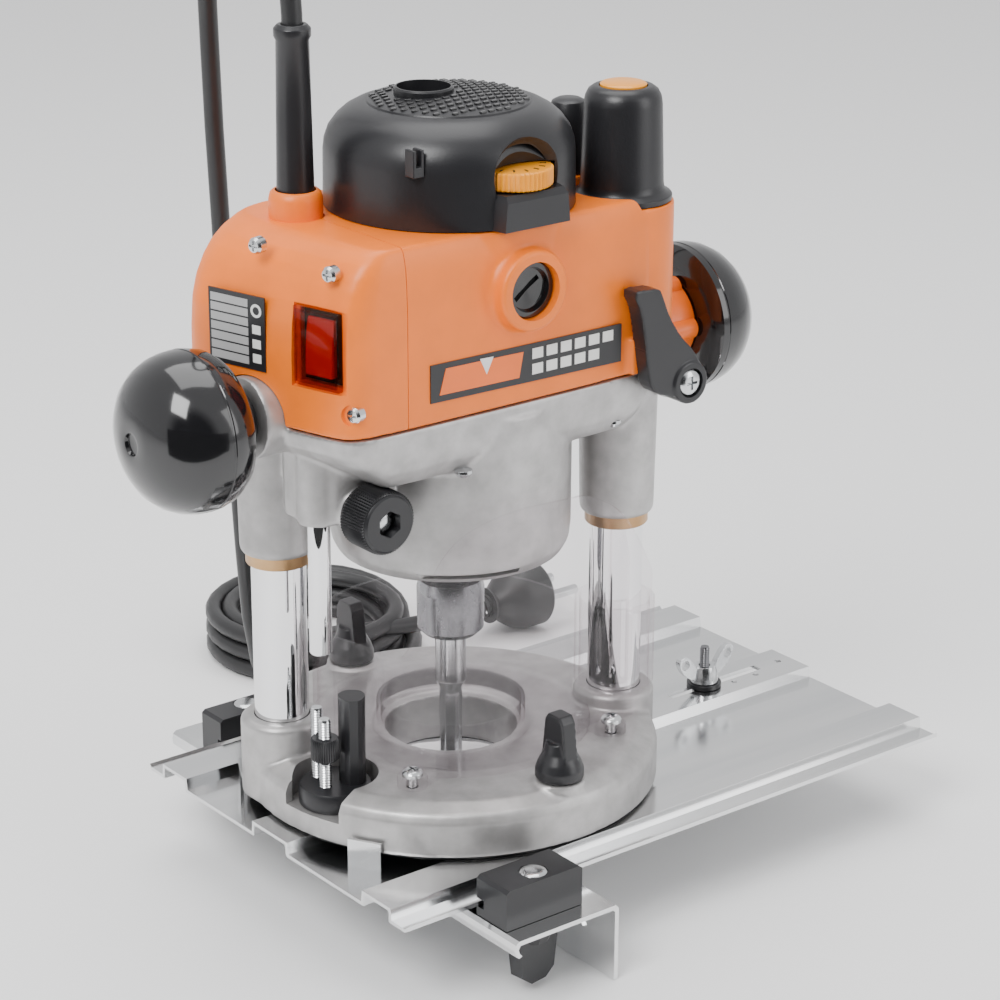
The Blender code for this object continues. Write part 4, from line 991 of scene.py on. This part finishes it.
def lever():
    x, y, z = LEVER
    hub = rod("lever_look", 8.6, -9.0, 1.2, (x, y, z), axis="Y", steps=80)
    outline = [(-6.6, -5), (6.4, 5.6), (2.0, 13), (-5.0, 20), (-11.0, 29), (-15.0, 38.6), (-16.6, 41.6),
        (-28.4, 42.6)]
    outline += [(-29.2, 40), (-26.0, 34), (-24.0, 24), (-22.4, 12), (-20.4, 2.4), (-17.0, -1.6)]
    add(hub, prism("lever_arm_look", rounded([(x + u, z + v) for u, v in outline], 1, 0.2), y - 8.0,
        y - 0.1, axis="Y"))
    melt(hub, 0.5, 3)
    cut(hub, rod("lever_hole", 3.3, -20, 10, (x, y, z), axis="Y"),
        rod("lever_seat", 6.0, -20, -6.4, (x, y, z), axis="Y"))
    for number in range(9):
        u, v = -28.6 + 0.62 * number, 37.0 - 2.5 * number
        cut(hub, rod(f"lever_notch_{number}", 0.7, y - 9, y + 1, (x + u, 0, z + v), axis="Y", steps=16))
    finish_piece(hub, SATIN, "lever", ["lock_lever"], 0)
    screw = turned("lever_screw_look", [(0, 12.0), (2.8, 12.0), (2.8, -6.8), (5.4, -6.8), (5.4, -8.0),
        (4.6, -8.9), (2.6, -9.4), (0, -9.4)], (x, y, z), "Y")
    cut(screw, box("lever_cross_a", (x - 2.8, x + 2.8), (y - 12, y - 7.6), (z - 0.55, z + 0.55)),
        box("lever_cross_b", (x - 0.55, x + 0.55), (y - 12.1, y - 7.6), (z - 2.8, z + 2.8)))
    finish_piece(screw, STEEL, "lever", ["lever_screw"], 0.15)


def depth_parts():
    finish_piece(turned("rod_look", [(0, 73.4), (4.0, 73.4), (4.5, 74.2), (4.5, 148), (4.0, 149), (0, 149)],
        (*ROD, 0)), CHROME, "depth_stop", ["depth_rod"], 0.1)
    stem = [(0, -17.6), (3.0, -17.6), (3.0, -26.4), (11.4, -26.4), (11.4, -27.6)]
    knurl = turned("depth_knurl", [(0, -27.2), (12.0, -27.2), (12.6, -28.0), (12.6, -41.0), (12.0, -41.8),
        (0, -41.8)], (-61, 0, 133.5), "Y", 132, 0.05)
    core = turned("depth_core", stem + [(11.4, -42.2), (10.6, -43), (0, -43)], (-61, 0, 133.5), "Y", 80)
    cut(core, rod("depth_socket", 5.4, -50, -37.5, (-61, 0, 133.5), "Y", 6))
    cut(knurl, rod("knurl_hole", 10.9, -50, -20, (-61, 0, 133.5), "Y", 80))
    finish_piece(core, SATIN, "depth_clamp", ["depth_knob"], 0.3)
    finish_piece(knurl, SATIN, "depth_clamp", (), 0)
    screw = turned("socket_screw", [(0, -37.6), (4.2, -37.6), (4.2, -38.6), (3.0, -39.4), (0, -39.6)],
        (-61, 0, 133.5), "Y")
    finish_piece(screw, STEEL, "depth_clamp", (), 0.1)


def spindle():
    nut = turned("collet_look", [(6.6, 60.4), (11.0, 60.4), (13.6, 63), (13.8, 80), (13.0, 84), (10, 86),
        (10, 99.6), (6.6, 99.6)], steps=72)
    for number in range(2):
        cut(nut, box(f"collet_flat_{number}", (12.2, 20) if number else (-20, -12.2), (-16, 16), (60, 79)))
    finish_piece(nut, DARK_STEEL, "spindle", ["collet_nut"], 0.4)
    bit = turned("bit_look", [(0, 2.2), (4.6, 2.2), (4.7, 36), (6.2, 38.6), (6.3, 40), (6.3, 97), (0, 97)],
        steps=64)
    cut(bit, turn_about(box("flute_a", (1.0, 8), (0.6, 8), (0, 33)), (0, 0, 0), "Z", 20),
        turn_about(box("flute_b", (-8, -1.0), (-8, -0.6), (0, 33)), (0, 0, 0), "Z", 20))
    finish_piece(bit, STEEL, "spindle", ["cutter"], 0.2)


def inner_parts():
    for node, material in (("armature", CORE), ("motor_field", CORE), ("lower_bearing", STEEL),
        ("upper_bearing", STEEL),
                           ("front_carbon_brush", CARBON), ("rear_carbon_brush", CARBON)):
        dress(node, material)


def cord_and_plug():
    obj, path, length = cord_curve()
    obj.data.materials.append(RUBBER)
    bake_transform(obj)
    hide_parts("cord", "cord_coil")
    z = FLOOR + 17.0
    body = turned("plug_body", [(0, 0), (5.0, 0), (5.6, 6), (6.4, 12), (11, 17), (15, 23), (16.4, 28),
        (16.4, 38.6), (15.4, 40), (0, 40)], (150, 180, z), "X", 80)
    body.data.name = "plug_body"
    for number in range(5):
        cut(body, pipe(f"plug_groove_{number}", 9, 4.6 + 0.22 * number, 2.2 + 2.2 * number,
            3.2 + 2.2 * number, (150, 180, z), "X", 48))
    finish_piece(body, RUBBER, "base", ["plug"], 0.4)
    pins = [rod(f"pin_{number}", 2.4, 39, 58, (150, 180 + y, z), "X", 40) for number,
        y in enumerate((-9.5, 9.5))]
    pin_pair = finish_piece(join("plug_pins", pins), STEEL, "base", (), 0.5)


# ---------------------------------------------------------------- studio


def floor():
    mesh = bpy.data.meshes.new("floor")
    reach, low = 4.0, (FLOOR + BASE_Z - 0.3) * MM
    mesh.from_pydata([(-reach, -reach, low), (reach, -reach, low), (reach, reach, low),
        (-reach, reach, low)], [], [(0, 1, 2, 3)])
    obj = bpy.data.objects.new("floor", mesh)
    bpy.context.scene.collection.objects.link(obj)
    obj.data.materials.append(shader("floor_look", (0.9, 0.9, 0.9), 0.6)[0])


def lamp(name, place, aim, power, width, height):
    data = bpy.data.lights.new(name, "AREA")
    data.shape = "RECTANGLE"
    data.size = width
    data.size_y = height
    data.energy = power
    obj = bpy.data.objects.new(name, data)
    obj.location = place
    obj.rotation_euler = (Vector(aim) - Vector(place)).to_track_quat("-Z", "Y").to_euler()
    bpy.context.scene.collection.objects.link(obj)


def world():
    """Pale all round, and dark at the level of the object in front, where polished parts mirror it."""
    world = bpy.data.worlds.new("studio")
    bpy.context.scene.world = world
    world.use_nodes = True
    tree = world.node_tree
    background = tree.nodes["Background"]
    place = tree.nodes.new("ShaderNodeTexCoord")
    dot = tree.nodes.new("ShaderNodeVectorMath")
    dot.operation = "DOT_PRODUCT"
    dot.inputs[1].default_value = (-0.619, -0.785, 0.0)
    ramp = tree.nodes.new("ShaderNodeValToRGB")
    ramp.color_ramp.elements[0].position = 0.62
    ramp.color_ramp.elements[0].color = (0.95, 0.95, 0.96, 1)
    ramp.color_ramp.elements[1].position = 0.80
    ramp.color_ramp.elements[1].color = (0.05, 0.05, 0.055, 1)
    tree.links.new(place.outputs["Generated"], dot.inputs[0])
    tree.links.new(dot.outputs["Value"], ramp.inputs["Fac"])
    tree.links.new(ramp.outputs["Color"], background.inputs["Color"])
    background.inputs["Strength"].default_value = 1.0


def dark_card():
    """A dark card in front, seen only in the polished parts."""
    facing = Vector((-0.619, -0.785, 0)).normalized()
    across = Vector((0.785, -0.619, 0)).normalized()
    middle = facing * 0.55
    corners = [middle + across * side * 0.62 + Vector((0, 0, z)) for side,
        z in ((-1, -0.035), (1, -0.035), (1, 0.3), (-1, 0.3))]
    mesh = bpy.data.meshes.new("dark_card")
    mesh.from_pydata([tuple(c) for c in corners], [], [(0, 1, 2, 3)])
    obj = bpy.data.objects.new("dark_card", mesh)
    bpy.context.scene.collection.objects.link(obj)
    obj.data.materials.append(shader("dark_card_look", (0.01, 0.01, 0.01), 0.9)[0])
    obj.visible_camera = False
    obj.visible_diffuse = False
    obj.visible_transmission = False
    obj.visible_shadow = False


def studio():
    floor()
    dark_card()
    lamp("key", (-1.3, -0.5, 1.5), (0, 0, 0.15), 34, 0.9, 0.9)
    lamp("fill", (0.9, -1.5, 0.8), (0, 0, 0.12), 9, 0.8, 1.2)
    lamp("top", (0.1, 0.3, 1.8), (0, 0, 0.1), 22, 1.4, 1.4)
    world()


def main():
    camera()
    cord_and_plug()
    base_casting()
    columns()
    chip_shield()
    base_knobs()
    turret()
    plate_and_fence()
    pivot()
    motor_casting()
    shell()
    switch()
    front_label()
    side_label()
    top_cap()
    controls()
    knobs()
    lever()
    depth_parts()
    spindle()
    inner_parts()
    studio()


main()
